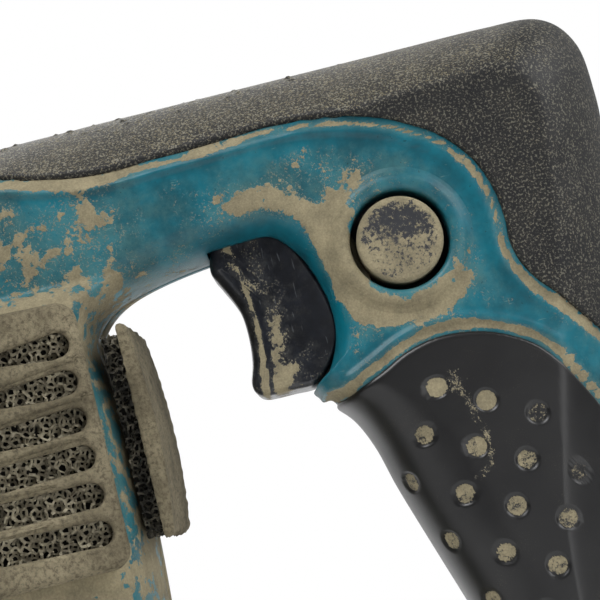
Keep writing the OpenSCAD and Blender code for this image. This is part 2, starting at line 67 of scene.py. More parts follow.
# Studio: a long lens close to the lock button side, held a little low and rolled, a pale floor,
# and soft lights above, in front and behind.
distance, focal, roll, tilt = 400.0, 112.0, math.radians(14), math.radians(6)
eye = np.array([0, -distance * math.cos(tilt), -distance * math.sin(tilt)])
ahead = Vector(-eye / distance)
upright = Vector((0, -math.sin(tilt), math.cos(tilt)))
right = math.cos(roll) * Vector((1, 0, 0)) - math.sin(roll) * upright
camera = bpy.data.objects.new("camera", bpy.data.cameras.new("camera"))
camera.data.lens, camera.data.sensor_width, camera.data.clip_start = focal, 36, 0.01
turn = Matrix((right, right.cross(ahead), -ahead)).transposed()
camera.matrix_world = Matrix.Translation(Vector(metres(eye))) @ turn.to_4x4()
bpy.context.scene.collection.objects.link(camera)
bpy.context.scene.camera = camera

floor_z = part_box("rubber_feet")[0].z
floor_mesh = bpy.data.meshes.new("floor")
reach = 0.5
floor_mesh.from_pydata([(-reach, -reach, floor_z), (reach, -reach, floor_z), (reach, reach, floor_z),
                        (-reach, reach, floor_z)], [], [(0, 1, 2, 3)])
floor = bpy.data.objects.new("floor", floor_mesh)
bpy.context.scene.collection.objects.link(floor)
paper = bpy.data.materials.new("paper")
paper.use_nodes = True
paper_shader = paper.node_tree.nodes["Principled BSDF"]
paper_shader.inputs["Base Color"].default_value = (0.86, 0.86, 0.86, 1)
paper_shader.inputs["Roughness"].default_value = 0.9
floor_mesh.materials.append(paper)

# The room is white where it is looked at, and lights the part most from behind
world = bpy.data.worlds.new("studio")
world.use_nodes = True
room, join = world.node_tree.nodes, world.node_tree.links.new
sky, white = room["Background"], room.new("ShaderNodeBackground")
sky.inputs["Color"].default_value = white.inputs["Color"].default_value = (1, 1, 1, 1)
white.inputs["Strength"].default_value = 1.0
way, split = room.new("ShaderNodeTexCoord"), room.new("ShaderNodeSeparateXYZ")
glow = room.new("ShaderNodeMapRange")
glow.interpolation_type = "SMOOTHSTEP"
for key, value in {"From Min": -0.35, "From Max": 0.95, "To Min": 0.05, "To Max": 0.85}.items():
    glow.inputs[key].default_value = value
seen, mix = room.new("ShaderNodeLightPath"), room.new("ShaderNodeMixShader")
join(way.outputs["Generated"], split.inputs[0])
join(split.outputs["Y"], glow.inputs["Value"])
join(glow.outputs[0], sky.inputs["Strength"])
join(seen.outputs["Is Camera Ray"], mix.inputs[0])
join(sky.outputs[0], mix.inputs[1])
join(white.outputs[0], mix.inputs[2])
join(mix.outputs[0], room["World Output"].inputs["Surface"])
bpy.context.scene.world = world
bpy.context.scene.view_settings.view_transform = "Standard"


def light(name, place, aim, size, watts):
    """A square soft light at a place, turned towards a point, both in mm from the handle datum."""
    lamp = bpy.data.lights.new(name, "AREA")
    lamp.size, lamp.energy = size, watts
    holder = bpy.data.objects.new(name, lamp)
    holder.location = metres(place)
    holder.rotation_euler = Vector(metres(aim) - metres(place)).to_track_quat("-Z", "Y").to_euler()
    bpy.context.scene.collection.objects.link(holder)


light("key", (-350, -550, 850), (0, 0, 0), 0.6, 11)
light("rim", (600, -200, 350), (30, 0, 0), 0.5, 4)
light("fill", (500, -900, -60), (0, 0, -20), 0.5, 2.0)
light("back", (-300, 700, 500), (-60, 0, 0), 0.8, 6)


# Moulded shells: glass-filled nylon, in two halves that meet on the middle plane. The handle is a
# closed ring whose cross-section runs from the finger opening out to the back; the motor housing
# widens out of it. Left and right halves are screwed together from the right.
stations = np.array([  # finger opening x, z, outside x, z, inner edge radius, outer edge radius
    [-43.4, -5.5, -97, 0, 7, 8], [-43.8, 0.8, -96, 30, 6, 8], [-41.4, 5, -84, 42.4, 6, 11],
    [-36, 8.2, -62, 46.2, 7, 14], [-28, 10.3, -38, 46.8, 8, 15], [-18, 11.8, -20, 46.8, 8, 15.5],
    [-9, 12.4, -4, 46.8, 8, 15.5], [-3, 12, 10, 46.8, 8, 16], [1.6, 6.6, 32, 46.8, 8, 16.5],
    [4.2, -0.6, 52, 46.8, 8, 17], [5, -6.4, 64.4, 45.8, 8, 17], [4.2, -12, 70.4, 39.2, 8, 17],
    [1.4, -17.6, 71.5, 28, 8, 17], [-1.9, -20.2, 71, 18, 7, 17], [1.5, -22.9, 70.4, 8, 8, 17],
    [5.8, -27.5, 69.2, -6, 11, 18], [8.9, -34.4, 67.2, -24, 14, 19], [11.2, -43.2, 64.7, -42, 16, 20],
    [14.5, -53.8, 61.1, -61, 16, 20], [19.9, -70.6, 57, -81.7, 16, 18], [24.9, -86.2, 52.3, -105.6, 13, 14],
    [23, -96, 44, -119.4, 9, 11], [12, -100.6, 24, -121.6, 8, 10], [-14, -95, -12, -117, 8, 10],
    [-36, -89, -50, -108.5, 8, 10], [-42.6, -80, -84, -98, 7, 9], [-42.6, -66, -95, -80, 8, 8],
    [-41.4, -40, -97, -40, 8, 8], [-41.5, -18, -97, -22, 8, 8]])
handle_half, seam = 17.0, 0.1
edge_power_in, edge_power_out = 2.3, 1.3
edge_in, edge_out = 0.22, 0.72  # shares of the way over the ring where its rounded edges end
shaft_z, barrel_half, rear_half, rear_x, taper_x = -27.0, 40.0, 25.0, -45.5, -92.0
tiny = 1e-9


def smooth_track(points, at):
    """Closed Catmull-Rom curve through rows of points, read at fractional row numbers."""
    count = len(points)
    first = np.floor(at).astype(int)
    t = (at - first)[..., None]
    a, b, c, d = (points[(first + k) % count] for k in (-1, 0, 1, 2))
    return 0.5 * (2 * b + (c - a) * t + (2 * a - 5 * b + 4 * c - d) * t ** 2
                  + (3 * b - a - 3 * c + d) * t ** 3)


def ease(low_value, high_value, x):
    """Smooth step from 0 at low_value to 1 at high_value."""
    t = np.clip((x - low_value) / (high_value - low_value), 0, 1)
    return t * t * (3 - 2 * t)


def bell(x, centre, width):
    """Bell curve: 1 where x is at its centre, falling away over its width."""
    return np.exp(-((x - centre) / width) ** 2)


def edge_round(part, power):
    """Height share of a rounded edge: 0 at the edge, 1 once part, the depth over the radius, is 1."""
    return (1 - (1 - np.clip(part, 0, 1)) ** power) ** (1 / power)


def housing_half(x, z):
    """Half width of the motor housing: a boxy oval at its rear face that turns into a round barrel."""
    t = np.clip((rear_x - x) / (rear_x - taper_x), 0, 1)
    width = rear_half + (barrel_half - rear_half) * t
    power = 5.0 - 3.0 * ease(0, 1, t)
    level = np.clip(np.abs(z - shaft_z) / barrel_half, 0, 1)
    return width * np.maximum(1 - level ** power, 0) ** (1 / power)


def half_width(x, z):
    """Half width of handle and housing together, blended where the handle grows out of the housing."""
    housing = (housing_half(x, z) + 0.08) * ease(-16, rear_x, x)
    blend = 9.0
    overlap = np.maximum(blend - np.abs(housing - handle_half), 0)
    joined = np.maximum(housing, handle_half) + overlap ** 2 / (4 * blend)
    near_barrel = ease(taper_x + 6, taper_x - 2, x)
    sunk = housing - 1.5
    return np.where(x > taper_x - 12, joined * (1 - near_barrel) + sunk * near_barrel, sunk)


def ring_frame(s):
    """Finger-opening point, unit direction outwards, length and edge radii of the ring at track place s."""
    row = smooth_track(stations, s)
    span = row[..., 2:4] - row[..., 0:2]
    length = np.linalg.norm(span, axis=-1)
    return row[..., 0:2], span / length[..., None], length, row[..., 4], row[..., 5]


def ring_point(s, depth, side):
    """Point on the ring's skin at track place s, depth from the finger opening, side -1 near and +1 far."""
    inner, out, length, radius_in, radius_out = ring_frame(s)
    flat = inner + out * depth[..., None]
    share = (edge_round(depth / radius_in, edge_power_in)
             * edge_round((length - depth) / radius_out, edge_power_out))
    width = half_width(flat[..., 0], flat[..., 1])
    across = side * (seam + (width - seam) * share)
    return np.stack([flat[..., 0], across, flat[..., 1]], axis=-1)


def ring_depth(s, c):
    """Depth at track place s for c from 0 at the finger opening to 1 at the back, fine over both edges."""
    _, _, length, radius_in, radius_out = ring_frame(s)
    inner = radius_in * (1 - np.cos(np.clip(c / edge_in, 0, 1) * math.pi / 2))
    outer = length - radius_out * (1 - np.cos(np.clip((1 - c) / (1 - edge_out), 0, 1) * math.pi / 2))
    across = np.clip((c - edge_in) / (edge_out - edge_in), 0, 1)
    middle = radius_in + (length - radius_out - radius_in) * across
    return np.where(c < edge_in, inner, np.where(c > edge_out, outer, middle))


track = np.linspace(0, len(stations), 2801)[:-1]
track_inner, track_out, track_length, _, _ = ring_frame(track)


def ring_place(points):
    """Track place and depth of points in X and Z: the station line that passes nearest each point."""
    away = points[:, None, :] - track_inner[None]
    along = (away * track_out[None]).sum(-1)
    off = np.abs(away[..., 0] * track_out[None, :, 1] - away[..., 1] * track_out[None, :, 0])
    off = off + np.where((along < -2) | (along > track_length[None] + 2), 1000, 0)
    best = off.argmin(axis=1)
    return track[best], along[np.arange(len(points)), best]


def polyline_distance(points, line):
    """Least distance from points to the corners of a finely stepped line, both in X and Z."""
    gap = points.reshape(-1, 1, 2) - line[None]
    return np.sqrt((gap ** 2).sum(-1)).min(axis=1).reshape(points.shape[:-1])


def open_curve(points, steps=12):
    """Catmull-Rom curve through given points, open at both ends."""
    ends = np.vstack([2 * points[0] - points[1], points, 2 * points[-1] - points[-2]])
    at = np.linspace(1, len(points), (len(points) - 1) * steps + 1)
    return smooth_track(np.vstack([ends, ends[-1:]]), at - 1e-9)


# Lower edge of the top bumper and upper edge of the grip's rubber, on the shells' sides
bumper_line = open_curve(np.array([
    [-86, 45.5], [-74, 42.8], [-62, 40.2], [-54.2, 38.2], [-46.7, 35.9], [-34.7, 34], [-20.3, 34.4],
    [-5.9, 35], [2.4, 35.3], [10.3, 34.6], [18.1, 33.1], [25.7, 30.6], [30, 28.4], [35, 25.3],
    [39.5, 20.8], [42.5, 15.8],
    [44.2, 10.3], [44.8, 4.5], [44.6, -0.5], [45.6, -5], [48, -9.3], [51.1, -12.9], [54.4, -16.9],
    [58.4, -21.6], [63, -27], [69, -33]]))
grip_line = open_curve(np.array([
    [2.4, -23.6], [5.7, -23.1], [12.9, -20], [18.4, -17.4], [24.4, -16], [30, -16.1], [35.4, -17.2],
    [40.5, -19.4], [44.6, -22.2], [47.7, -25.7], [50.5, -30.3], [54.2, -36.8], [57.5, -44],
    [60, -52], [62.6, -59]]))


def rubber_gap(flat):
    """Distance from points to the nearer of the two rubber edges."""
    return np.minimum(polyline_distance(flat, bumper_line), polyline_distance(flat, grip_line))


def grip_track():
    """The grip's edge as track places, in the order of their shares of the way over the ring."""
    line_s, line_d = ring_place(grip_line)
    line_w = line_d / np.interp(line_s, track, track_length)
    order = np.argsort(line_w)
    return line_s[order], line_w[order]


def ridge(flat):
    """Raised line in the moulding beside both rubber edges, with a shallow dip between ridge and edge."""
    gap = rubber_gap(flat)
    return 0.75 * bell(gap, 3.1, 0.85) - 0.25 * bell(gap, 1.2, 0.8)


def normals(grid):
    """Unit normals of a grid of points, from its differences along both ways."""
    face = np.cross(np.gradient(grid, axis=0), np.gradient(grid, axis=1))
    return face / np.maximum(np.linalg.norm(face, axis=-1, keepdims=True), tiny)


def grid_faces(rows, columns, close_rows=False):
    """Quads of a grid of points, with the last row joined to the first when close_rows is set."""
    row, column = np.meshgrid(np.arange(rows if close_rows else rows - 1), np.arange(columns - 1),
                              indexing="ij")
    here, there = row * columns + column, (row + 1) % rows * columns + column
    return np.stack([here, here + 1, there + 1, there], -1).reshape(-1, 4)


def patch(grid, close_rows=False, keep=None):
    """Points and quads of one grid, leaving out quads whose keep flag, one for each point, is off."""
    faces = grid_faces(*grid.shape[:2], close_rows)
    if keep is not None:
        faces = faces[keep.reshape(-1)[faces].all(axis=1)]
    return grid.reshape(-1, 3), faces.tolist()


def piece(name, parts, replaced, body="housing", material=None, wall=0, smooth=True, dust_and_shade=None):
    """One object from parts, each points in mm and faces, welded, facing outwards, riding on a body.
    The last argument, a function of the welded points and normals, gives each point's share of dust; on the
    bumper that share also paints a shadow line along the crease."""
    points, faces, offset = [], [], 0
    for part_points, part_faces in parts:
        points.append(metres(part_points))
        faces += [[corner + offset for corner in face] for face in part_faces]
        offset += len(part_points)
    mesh = bpy.data.meshes.new(name)
    mesh.from_pydata(np.vstack(points).tolist(), [], faces)
    build = bmesh.new()
    build.from_mesh(mesh)
    bmesh.ops.remove_doubles(build, verts=build.verts, dist=2e-6)
    bmesh.ops.delete(build, geom=[v for v in build.verts if not v.link_faces], context="VERTS")
    bmesh.ops.recalc_face_normals(build, faces=build.faces)
    build.to_mesh(mesh)
    build.free()
    mesh.polygons.foreach_set("use_smooth", [smooth] * len(mesh.polygons))
    if dust_and_shade is not None:
        count = len(mesh.vertices)
        place, facing = np.zeros(count * 3, np.float32), np.zeros(count * 3, np.float32)
        mesh.vertices.foreach_get("co", place)
        mesh.vertices.foreach_get("normal", facing)
        share = dust_and_shade((place.reshape(-1, 3) - datum) * 1000, facing.reshape(-1, 3))
        stored = mesh.attributes.new("dust_and_shade", "FLOAT", "POINT")
        stored.data.foreach_set("value", share.astype(np.float32))
    mesh.materials.append(material)
    thing = bpy.data.objects.new(name, mesh)
    bpy.context.scene.collection.objects.link(thing)
    if wall:
        solid = thing.modifiers.new("wall", "SOLIDIFY")
        solid.thickness, solid.offset = wall / 1000, -1
    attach(thing, body)
    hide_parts(*replaced)


def feed(tree, socket, item):
    """Links a shader value or node socket to a socket, or sets the socket to a plain number or colour."""
    if isinstance(item, Value):
        tree.links.new(item.socket, socket)
    elif isinstance(item, bpy.types.NodeSocket):
        tree.links.new(item, socket)
    else:
        socket.default_value = item


class Value:
    """A shader value, so that shader maths reads as plain arithmetic."""

    def __init__(self, tree, socket):
        self.tree, self.socket = tree, socket

    def math(self, operation, *items):
        node = self.tree.nodes.new("ShaderNodeMath")
        node.operation = operation
        for number, item in enumerate(items):
            feed(self.tree, node.inputs[number], item)
        return Value(self.tree, node.outputs[0])

    def __add__(self, other):
        return self.math("ADD", self, other)

    def __sub__(self, other):
        return self.math("SUBTRACT", self, other)

    def __rsub__(self, other):
        return self.math("SUBTRACT", other, self)

    def __mul__(self, other):
        return self.math("MULTIPLY", self, other)

    __radd__, __rmul__ = __add__, __mul__

    def most(self, other):
        return self.math("MAXIMUM", self, other)

    def step(self, low_value, high_value):
        """Smooth step of the value from 0 at low_value to 1 at high_value."""
        node = self.tree.nodes.new("ShaderNodeMapRange")
        node.interpolation_type = "SMOOTHSTEP"
        self.tree.links.new(self.socket, node.inputs["Value"])
        node.inputs["From Min"].default_value = low_value
        node.inputs["From Max"].default_value = high_value
        return Value(self.tree, node.outputs[0])


class Finish:
    """A material being made: node() adds any node, and the rest are short names for common ones."""

    def __init__(self, name):
        self.material = bpy.data.materials.new(name)
        self.material.use_nodes = True
        self.tree = self.material.node_tree
        self.shader = self.tree.nodes["Principled BSDF"]
        self.place = self.node("ShaderNodeTexCoord").outputs["Object"]

    def node(self, kind, settings=None, values=None):
        node = self.tree.nodes.new(kind)
        for key, setting in (settings or {}).items():
            setattr(node, key, setting)
        for key, value in (values or {}).items():
            feed(self.tree, node.inputs[key], value)
        return node

    def noise(self, scale, detail=4, rough=0.6, stretch=(1, 1, 1)):
        """Noise with a scale in features per metre, stretched along the axes by the given shares."""
        place = self.node("ShaderNodeMapping", None, {"Vector": self.place, "Scale": stretch}).outputs[0]
        node = self.node("ShaderNodeTexNoise", None,
                         {"Vector": place, "Scale": scale, "Detail": detail, "Roughness": rough})
        return Value(self.tree, node.outputs[0])

    def two_tone(self, scale, detail, rough, low_value, high_value, dark, light):
        """Colour that runs between two screen colours over a noise."""
        share = self.noise(scale, detail, rough).step(low_value, high_value)
        return self.blend(share, tint(*dark), tint(*light))

    def share(self, name):
        """A named share that is stored with the mesh."""
        return Value(self.tree, self.node("ShaderNodeAttribute", {"attribute_name": name}).outputs["Fac"])

    def blend(self, amount, first, second):
        """Colour that goes from first to second as amount goes from 0 to 1."""
        values = {0: amount, 6: first, 7: second}
        return self.node("ShaderNodeMix", {"data_type": "RGBA"}, values).outputs[2]

    def bump(self, height, strength, distance_mm):
        values = {"Height": height, "Strength": strength, "Distance": distance_mm / 1000}
        return self.node("ShaderNodeBump", None, values).outputs[0]

    def set(self, **values):
        """Sets the shader's own sockets, by the short names below."""
        names = {"colour": "Base Color", "rough": "Roughness", "metal": "Metallic", "normal": "Normal",
                 "coat": "Coat Weight", "specular": "Specular IOR Level", "through": "Transmission Weight"}
        for key, value in values.items():
            feed(self.tree, self.shader.inputs[names[key]], value)
        return self.material


def tint(red, green, blue):
    """Colour from screen values of 0 to 255, as the shader's linear one."""
    linear = [((v / 255 + 0.055) / 1.055) ** 2.4 if v > 10 else v / 255 / 12.92 for v in (red, green, blue)]
    return (*linear, 1)


dust_light, dust_dark, dust_rough = tint(150, 140, 112), tint(104, 97, 78), 0.92


def dust_colour(finish):
    """Dry mud colour, mottled and with darker grains."""
    mottle = finish.noise(170, 8, 0.72).step(0.3, 0.7)
    grains = finish.noise(2300, 3, 0.6).step(0.3, 0.75)
    return finish.blend(mottle * 0.6 + grains * 0.4, dust_dark, dust_light)


def dusty(finish, amount, colour, rough, base_height=None):
    """Lays dust over a colour where amount is 1, with a flaky thickness that catches the light."""
    height = amount * 0.6 + amount * finish.noise(1500, 5, 0.65) * 0.5
    if base_height is not None:
        height = height + base_height
    return finish.set(colour=finish.blend(amount, colour, dust_colour(finish)),
                      rough=amount * (dust_rough - rough) + rough,
                      normal=finish.bump(height, 0.5, 0.2))


def dust_layers(finish, share, solid=1.5, thin=1.24):
    """Share of dust: caked patches with crisp flaked edges, and round them a scatter of fine specks."""
    broad, medium, fine = finish.noise(75, 7, 0.62), finish.noise(330, 6, 0.6), finish.noise(1500, 3, 0.6)
    field = broad * 0.95 + medium * 0.8 + fine * 0.15 + share * 1.25
    specks = finish.noise(2100, 3, 0.6).step(0.56, 0.62) * field.step(thin, solid + 0.04)
    return field.step(solid, solid + 0.035).most(specks * 0.7)


teal_finish = Finish("dusty teal nylon")
teal = teal_finish.two_tone(90, 5, 0.6, 0.3, 0.7, (0, 66, 78), (0, 98, 114))
film = teal_finish.noise(260, 10, 0.8) * 0.7 + teal_finish.noise(60, 4, 0.6) * 0.3
film = (film + teal_finish.share("dust_and_shade") * 0.6).step(0.56, 0.9)
teal = teal_finish.blend(film * 0.42, teal, tint(88, 122, 116))
streak = teal_finish.noise(620, 4, 0.6, (0.16, 1, 1.3)).step(0.68, 0.72)
teal = teal_finish.blend(streak * 0.4, teal, tint(120, 138, 126))
pits = teal_finish.noise(1300, 2, 0.5).step(0.24, 0.3)
teal = teal_finish.blend((1 - pits) * 0.6, teal, tint(6, 44, 50))
teal_finish.set(specular=0.35)
teal_material = dusty(teal_finish, dust_layers(teal_finish, teal_finish.share("dust_and_shade")), teal, 0.42,
                      base_height=teal_finish.noise(4200, 2, 0.5) * 0.06)
slot_rim = open_curve(np.array([
    [-17, 12], [-9, 13.5], [-3, 13], [1, 9], [4.4, 2], [5.6, -5], [4.8, -12], [2, -17.5]]))


def shell_grime(points, facing):
    """Share of dust on the shells: thick ahead of the handle, round the lock button, along the ridges,
    and under the trigger; thin on the curved band behind the button."""
    flat = points[:, [0, 2]]
    x, z = flat[:, 0], flat[:, 1]
    near = ease(0, -4, points[:, 1])
    from_button = np.linalg.norm(flat - button_at, axis=1)
    ridge_gap, slot_gap = rubber_gap(flat), polyline_distance(flat, slot_rim)
    housing = (0.26 * ease(0, -46, x + 0.6 * (z - 20)) + 0.1 * ease(-44, -70, x) * ease(30, 8, z)
               + 0.1 * ease(14, -20, z) - 0.1 * bell(x, -45, 2) * ease(2, -8, z))
    button = (0.31 * bell(from_button, 15.6, 2.6) * ease(14, -6, x - 20 + 0.9 * (z - 5))
              + 0.16 * bell(from_button, 12.6, 1.6) * ease(10, -8, z)
              + 0.14 * ease(22, 15, from_button) - 0.12 * bell(x, 38, 8) * bell(z, 12, 12))
    edges = 0.5 * bell(ridge_gap, 1.45, 0.8) - 0.1 * bell(ridge_gap, 4.5, 1.5)
    slot = (0.24 * bell(slot_gap, 7, 3.4) * ease(-19, -6, x) * ease(-20, 2, z)
            - 0.34 * bell(slot_gap, 0, 2.6) * ease(-24, -12, x) * ease(-22, -14, z))
    beam = 0.26 * bell(x, 2, 13) * bell(z, 23, 7)
    return 0.17 + housing + near * button + edges + slot + beam


# Trigger slot: half its width, that as a share of the way over the ring, its ends along the track
# and its depth. A round gap in the near side takes the raised boss.
slot_half, slot_deep, boss_gap_r = 10.2, 11, 13.2
slot_share = (slot_half - seam) / (handle_half - seam)
slot_part = 1 - (1 - slot_share ** edge_power_in) ** (1 / edge_power_in)
slot_c = edge_in * math.acos(1 - slot_part) / (math.pi / 2)
slot_from, slot_to = 5.15, 13.0
groove_deep, grip_from_end = 1.3, 20.6


def shell_side(side):
    """One half of the ring: track places along, from the finger opening to the back across, with the
    trigger's slot left open, raised beside the rubber and sunk under it."""
    places = np.unique(np.concatenate([np.arange(0, len(stations), 1 / 22), [slot_from, slot_to]]))
    steps = np.unique(np.concatenate([np.linspace(0, edge_in, 14), [slot_c],
                                      np.linspace(edge_in, edge_out, 44), np.linspace(edge_out, 1, 18)]))
    s, c = np.meshgrid(places, steps, indexing="ij")
    depth = ring_depth(s, c)
    grid = ring_point(s, depth, side)
    flat = grid[..., [0, 2]]
    line_s, line_d = ring_place(bumper_line)
    order = np.argsort(line_s)
    edge_depth = np.interp(s, line_s[order], line_d[order])
    sunk = ease(0.2, 2.2, depth - edge_depth) * ((s > line_s.min()) & (s < line_s.max()))
    line_s, line_w = grip_track()
    top = np.interp(depth / np.interp(s, track, track_length), line_w, line_s)
    sunk = np.maximum(sunk, ease(0.05, 0.35, s - top) * (s < grip_from_end))
    face = normals(grid)
    if (face[60, 30] * [0, side, 0]).sum() < 0:
        face = -face
    grid = grid + face * (ridge(flat) * (1 - sunk) - groove_deep * sunk)[..., None]
    keep = (c >= slot_c - tiny) | (s < slot_from + 1e-6) | (s > slot_to - 1e-6)
    if side < 0:
        keep &= np.linalg.norm(flat - button_at, axis=-1) > boss_gap_r
    rows = (places > slot_from - tiny) & (places < slot_to + tiny)
    lip = grid[rows][:, np.where(np.abs(steps - slot_c) < tiny)[0][0]]
    out = ring_frame(places[rows])[1][:, None]
    deep = np.linspace(0, slot_deep, 8)
    wall = lip[:, None, :] + np.stack([out[..., 0] * deep, 0 * out[..., 0] * deep, out[..., 1] * deep], -1)
    floor_grid = np.stack([wall[:, -1], wall[:, -1] * [1, 0, 1]], axis=1)
    return [patch(grid, close_rows=True, keep=keep), patch(wall), patch(floor_grid)]


def disc_patch(centre, radii, heights, side, around=96):
    """Rings about a centre on the ring's side: radii outwards, with each ring's height over the skin."""
    angle = np.linspace(0, 2 * math.pi, around, endpoint=False)
    flat = centre + np.stack([radii * np.cos(angle)[:, None], radii * np.sin(angle)[:, None]], -1)
    s, depth = ring_place(flat.reshape(-1, 2))
    skin = ring_point(s, depth, side).reshape(flat.shape[:2] + (3,))
    level = side * half_width(np.array(centre[0]), np.array(centre[1]))
    y = np.where(heights > -2.5, skin[..., 1], level) + side * heights
    y = y + side * ridge(flat) * (radii > 13.5)
    return patch(np.stack([flat[..., 0], y, flat[..., 1]], axis=-1), close_rows=True)


hole_r = 10.3
boss_radii = hole_r + np.array([0, 0, 0, 0.15, 0.5, 1.1, 1.9, 2.7, 3.3, 3.8, 4.3, 4.9, 5.6])
boss_heights = np.array([-7, -4, -0.2, 0.75, 1.25, 1.5, 1.55, 1.35, 0.95, 0.5, 0.17, 0.02, -0.3])


def barrel_half_grid(side):
    """Half of the motor barrel: stations along the shaft, angles from top to bottom."""
    front_x = (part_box("left_shell")[0].x - datum[0]) * 1000
    x = np.concatenate([np.linspace(rear_x - 6, taper_x, 26), np.linspace(taper_x - 2, front_x + 2, 30),
                        [front_x + 1, front_x + 0.3, front_x]])
    pull = np.zeros(len(x))
    pull[-3:] = [0.1, 0.6, 1.2]  # rounded front edge
    angle = np.linspace(0, math.pi, 49)
    z = shaft_z + (barrel_half - pull[:, None]) * np.cos(angle)[None, :]
    gx = np.repeat(x[:, None], len(angle), axis=1)
    width = housing_half(gx, shaft_z + barrel_half * np.cos(angle)[None, :])
    y = side * np.maximum(width * (1 - pull[:, None] / barrel_half), seam)
    rib = 0.7 * ease(0.5, 0.9, np.cos((gx - taper_x) / 8.5 * 2 * math.pi))
    rib = rib * ease(taper_x - 14, taper_x - 18, gx) * ease(front_x + 8, front_x + 14, gx)
    spread = np.stack([0 * gx, y, z - shaft_z], axis=-1)
    spread = spread / np.linalg.norm(spread, axis=-1, keepdims=True)
    return patch(np.stack([gx, y, z], axis=-1) + spread * rib[..., None])


for name, side in (("left_shell", -1), ("right_shell", 1)):
    piece(name + "_skin", shell_side(side) + [barrel_half_grid(side)], [name],
          material=teal_material, wall=1.6, dust_and_shade=shell_grime)
    if side < 0:
        piece(name + "_boss", [disc_patch(button_at, boss_radii, boss_heights, side)], [name],
              material=teal_material, dust_and_shade=shell_grime)


# Top bumper: soft black thermoplastic rubber, moulded over the beam and the rear corner of both
# shells. Its lower edge is a rounded lip that sinks into a groove in the nylon.
bumper_proud, grip_proud = 1.0, 0.9
lip_steps = np.array([0, 0.04, 0.12, 0.3, 0.6, 1.0, 1.5])
lip_rise = np.array([-1.3, -0.5, 0.25, 0.62, 0.86, 0.97, 1.0])
line_s, line_d = ring_place(bumper_line)
covered = line_d < np.interp(line_s, track, track_length) - 0.4
order = np.argsort(line_s[covered])
bumper_s, bumper_d = line_s[covered][order], line_d[covered][order]


def crumbs(points, scale, seed):
    """Smooth random heights of -1 to 1 over points in mm, from sums of slanted waves."""
    pick = np.random.default_rng(seed)
    total = 0
    for k in range(14):
        way = pick.normal(size=3)
        pace = 2 * math.pi / scale * pick.uniform(0.6, 1.8)
        total = total + np.sin(points @ (way / np.linalg.norm(way)) * pace + pick.uniform(0, 6.28))
    return total / 5


def bumper_parts():
    """The bumper as one sheet, from its lip on the near side over the top to the lip on the far side."""
    places = np.linspace(bumper_s[0], bumper_s[-1], 460)
    edge = np.interp(places, bumper_s, bumper_d)
    _, _, length, _, _ = ring_frame(places)
    room = (length - edge)[:, None]
    steps = np.minimum(lip_steps[None, :], room * 0.5)
    wide = room - steps[:, -1:]
    turn = np.sin(np.linspace(0, math.pi / 2, 44)[1:])[None, :]
    depth = edge[:, None] + np.concatenate([steps, steps[:, -1:] + wide * turn], axis=1)
    s = np.repeat(places[:, None], depth.shape[1], axis=1)
    near, far = ring_point(s, depth, -1), ring_point(s, depth, 1)
    near[:, -1, 1] = 0
    rise = np.concatenate([lip_rise, np.ones(turn.shape[1])])
    grid = np.concatenate([near, far[:, ::-1][:, 1:]], axis=1)
    rise = np.concatenate([rise, rise[::-1][1:]])
    face = normals(grid)
    if face[230, 50] @ np.array([0.2, 0, 1]) < 0:
        face = -face
    end = ease(0, 0.12, s[:, :1] - places[0]) * ease(0, 0.12, places[-1] - s[:, :1])
    height = (rise[None, :] + 1.3) * end - 1.3
    roof = ease(40, 46, grid[..., 2]) * ease(12, 4, np.abs(grid[..., 1])) * ease(40, 0, grid[..., 0])
    bits = np.maximum(crumbs(grid, 2.6, 4) - 0.75, 0) * roof * 0.5
    return [patch(grid + face * (height * bumper_proud + bits)[..., None])]


rubber_finish = Finish("worn black rubber")
# The stored share is dust, and along the bumper's crease a painted shadow: there it runs below nothing and
# leaves the rubber bare and dark.
patches, film = rubber_finish.noise(120, 8, 0.7), rubber_finish.share("dust_and_shade")
rubber = rubber_finish.blend(patches.step(0.3, 0.7), tint(13, 14, 17), tint(26, 26, 26))
density = film + patches * 0.5 - 0.25
specks = rubber_finish.noise(2500, 3, 0.65) + density * 0.3
crust = (rubber_finish.noise(420, 7, 0.72) + patches * 0.5 + film * 0.25).step(0.98, 1.04)
rubber = rubber_finish.blend(density.step(0, 0.7) * 0.42, rubber, tint(76, 73, 63))
grain = rubber_finish.noise(2000, 3, 0.6).step(0.53, 0.62)
grain = grain * (density.step(-0.2, 0.6) * 0.45 + 0.25)
rubber = rubber_finish.blend(grain, rubber, tint(146, 142, 126))
rubber_material = dusty(rubber_finish, (specks.step(0.62, 0.7) * 0.6).most(crust * 0.85), rubber, 0.55,
                        base_height=rubber_finish.noise(1900, 3, 0.6) * 0.45)
rubber_finish.set(specular=0.3)


def bumper_dust_and_shadow(points, facing):
    """Share of dust on the bumper: most on the sloping roof, little at the rear, and below nothing along its
    crease, which leaves a dark line of painted shadow there.
    """
    x, z = points[:, 0], points[:, 2]
    roof = ease(0.15, 0.5, facing[:, 2]) * ease(100, 30, x)
    # The crease's shadow under the roof's ledge is painted: the share drops below nothing along it.
    crease = bell(z, 31.6, 0.7) * ease(14, 34, x)
    return 0.22 * roof - 0.5 * crease + 0.06 + 0.03 * ease(30, -50, x) - 0.08 * ease(50, 64, x)


piece("top_bumper_skin", bumper_parts(), ["top_bumper"], material=rubber_material,
      wall=0.9, dust_and_shade=bumper_dust_and_shadow)


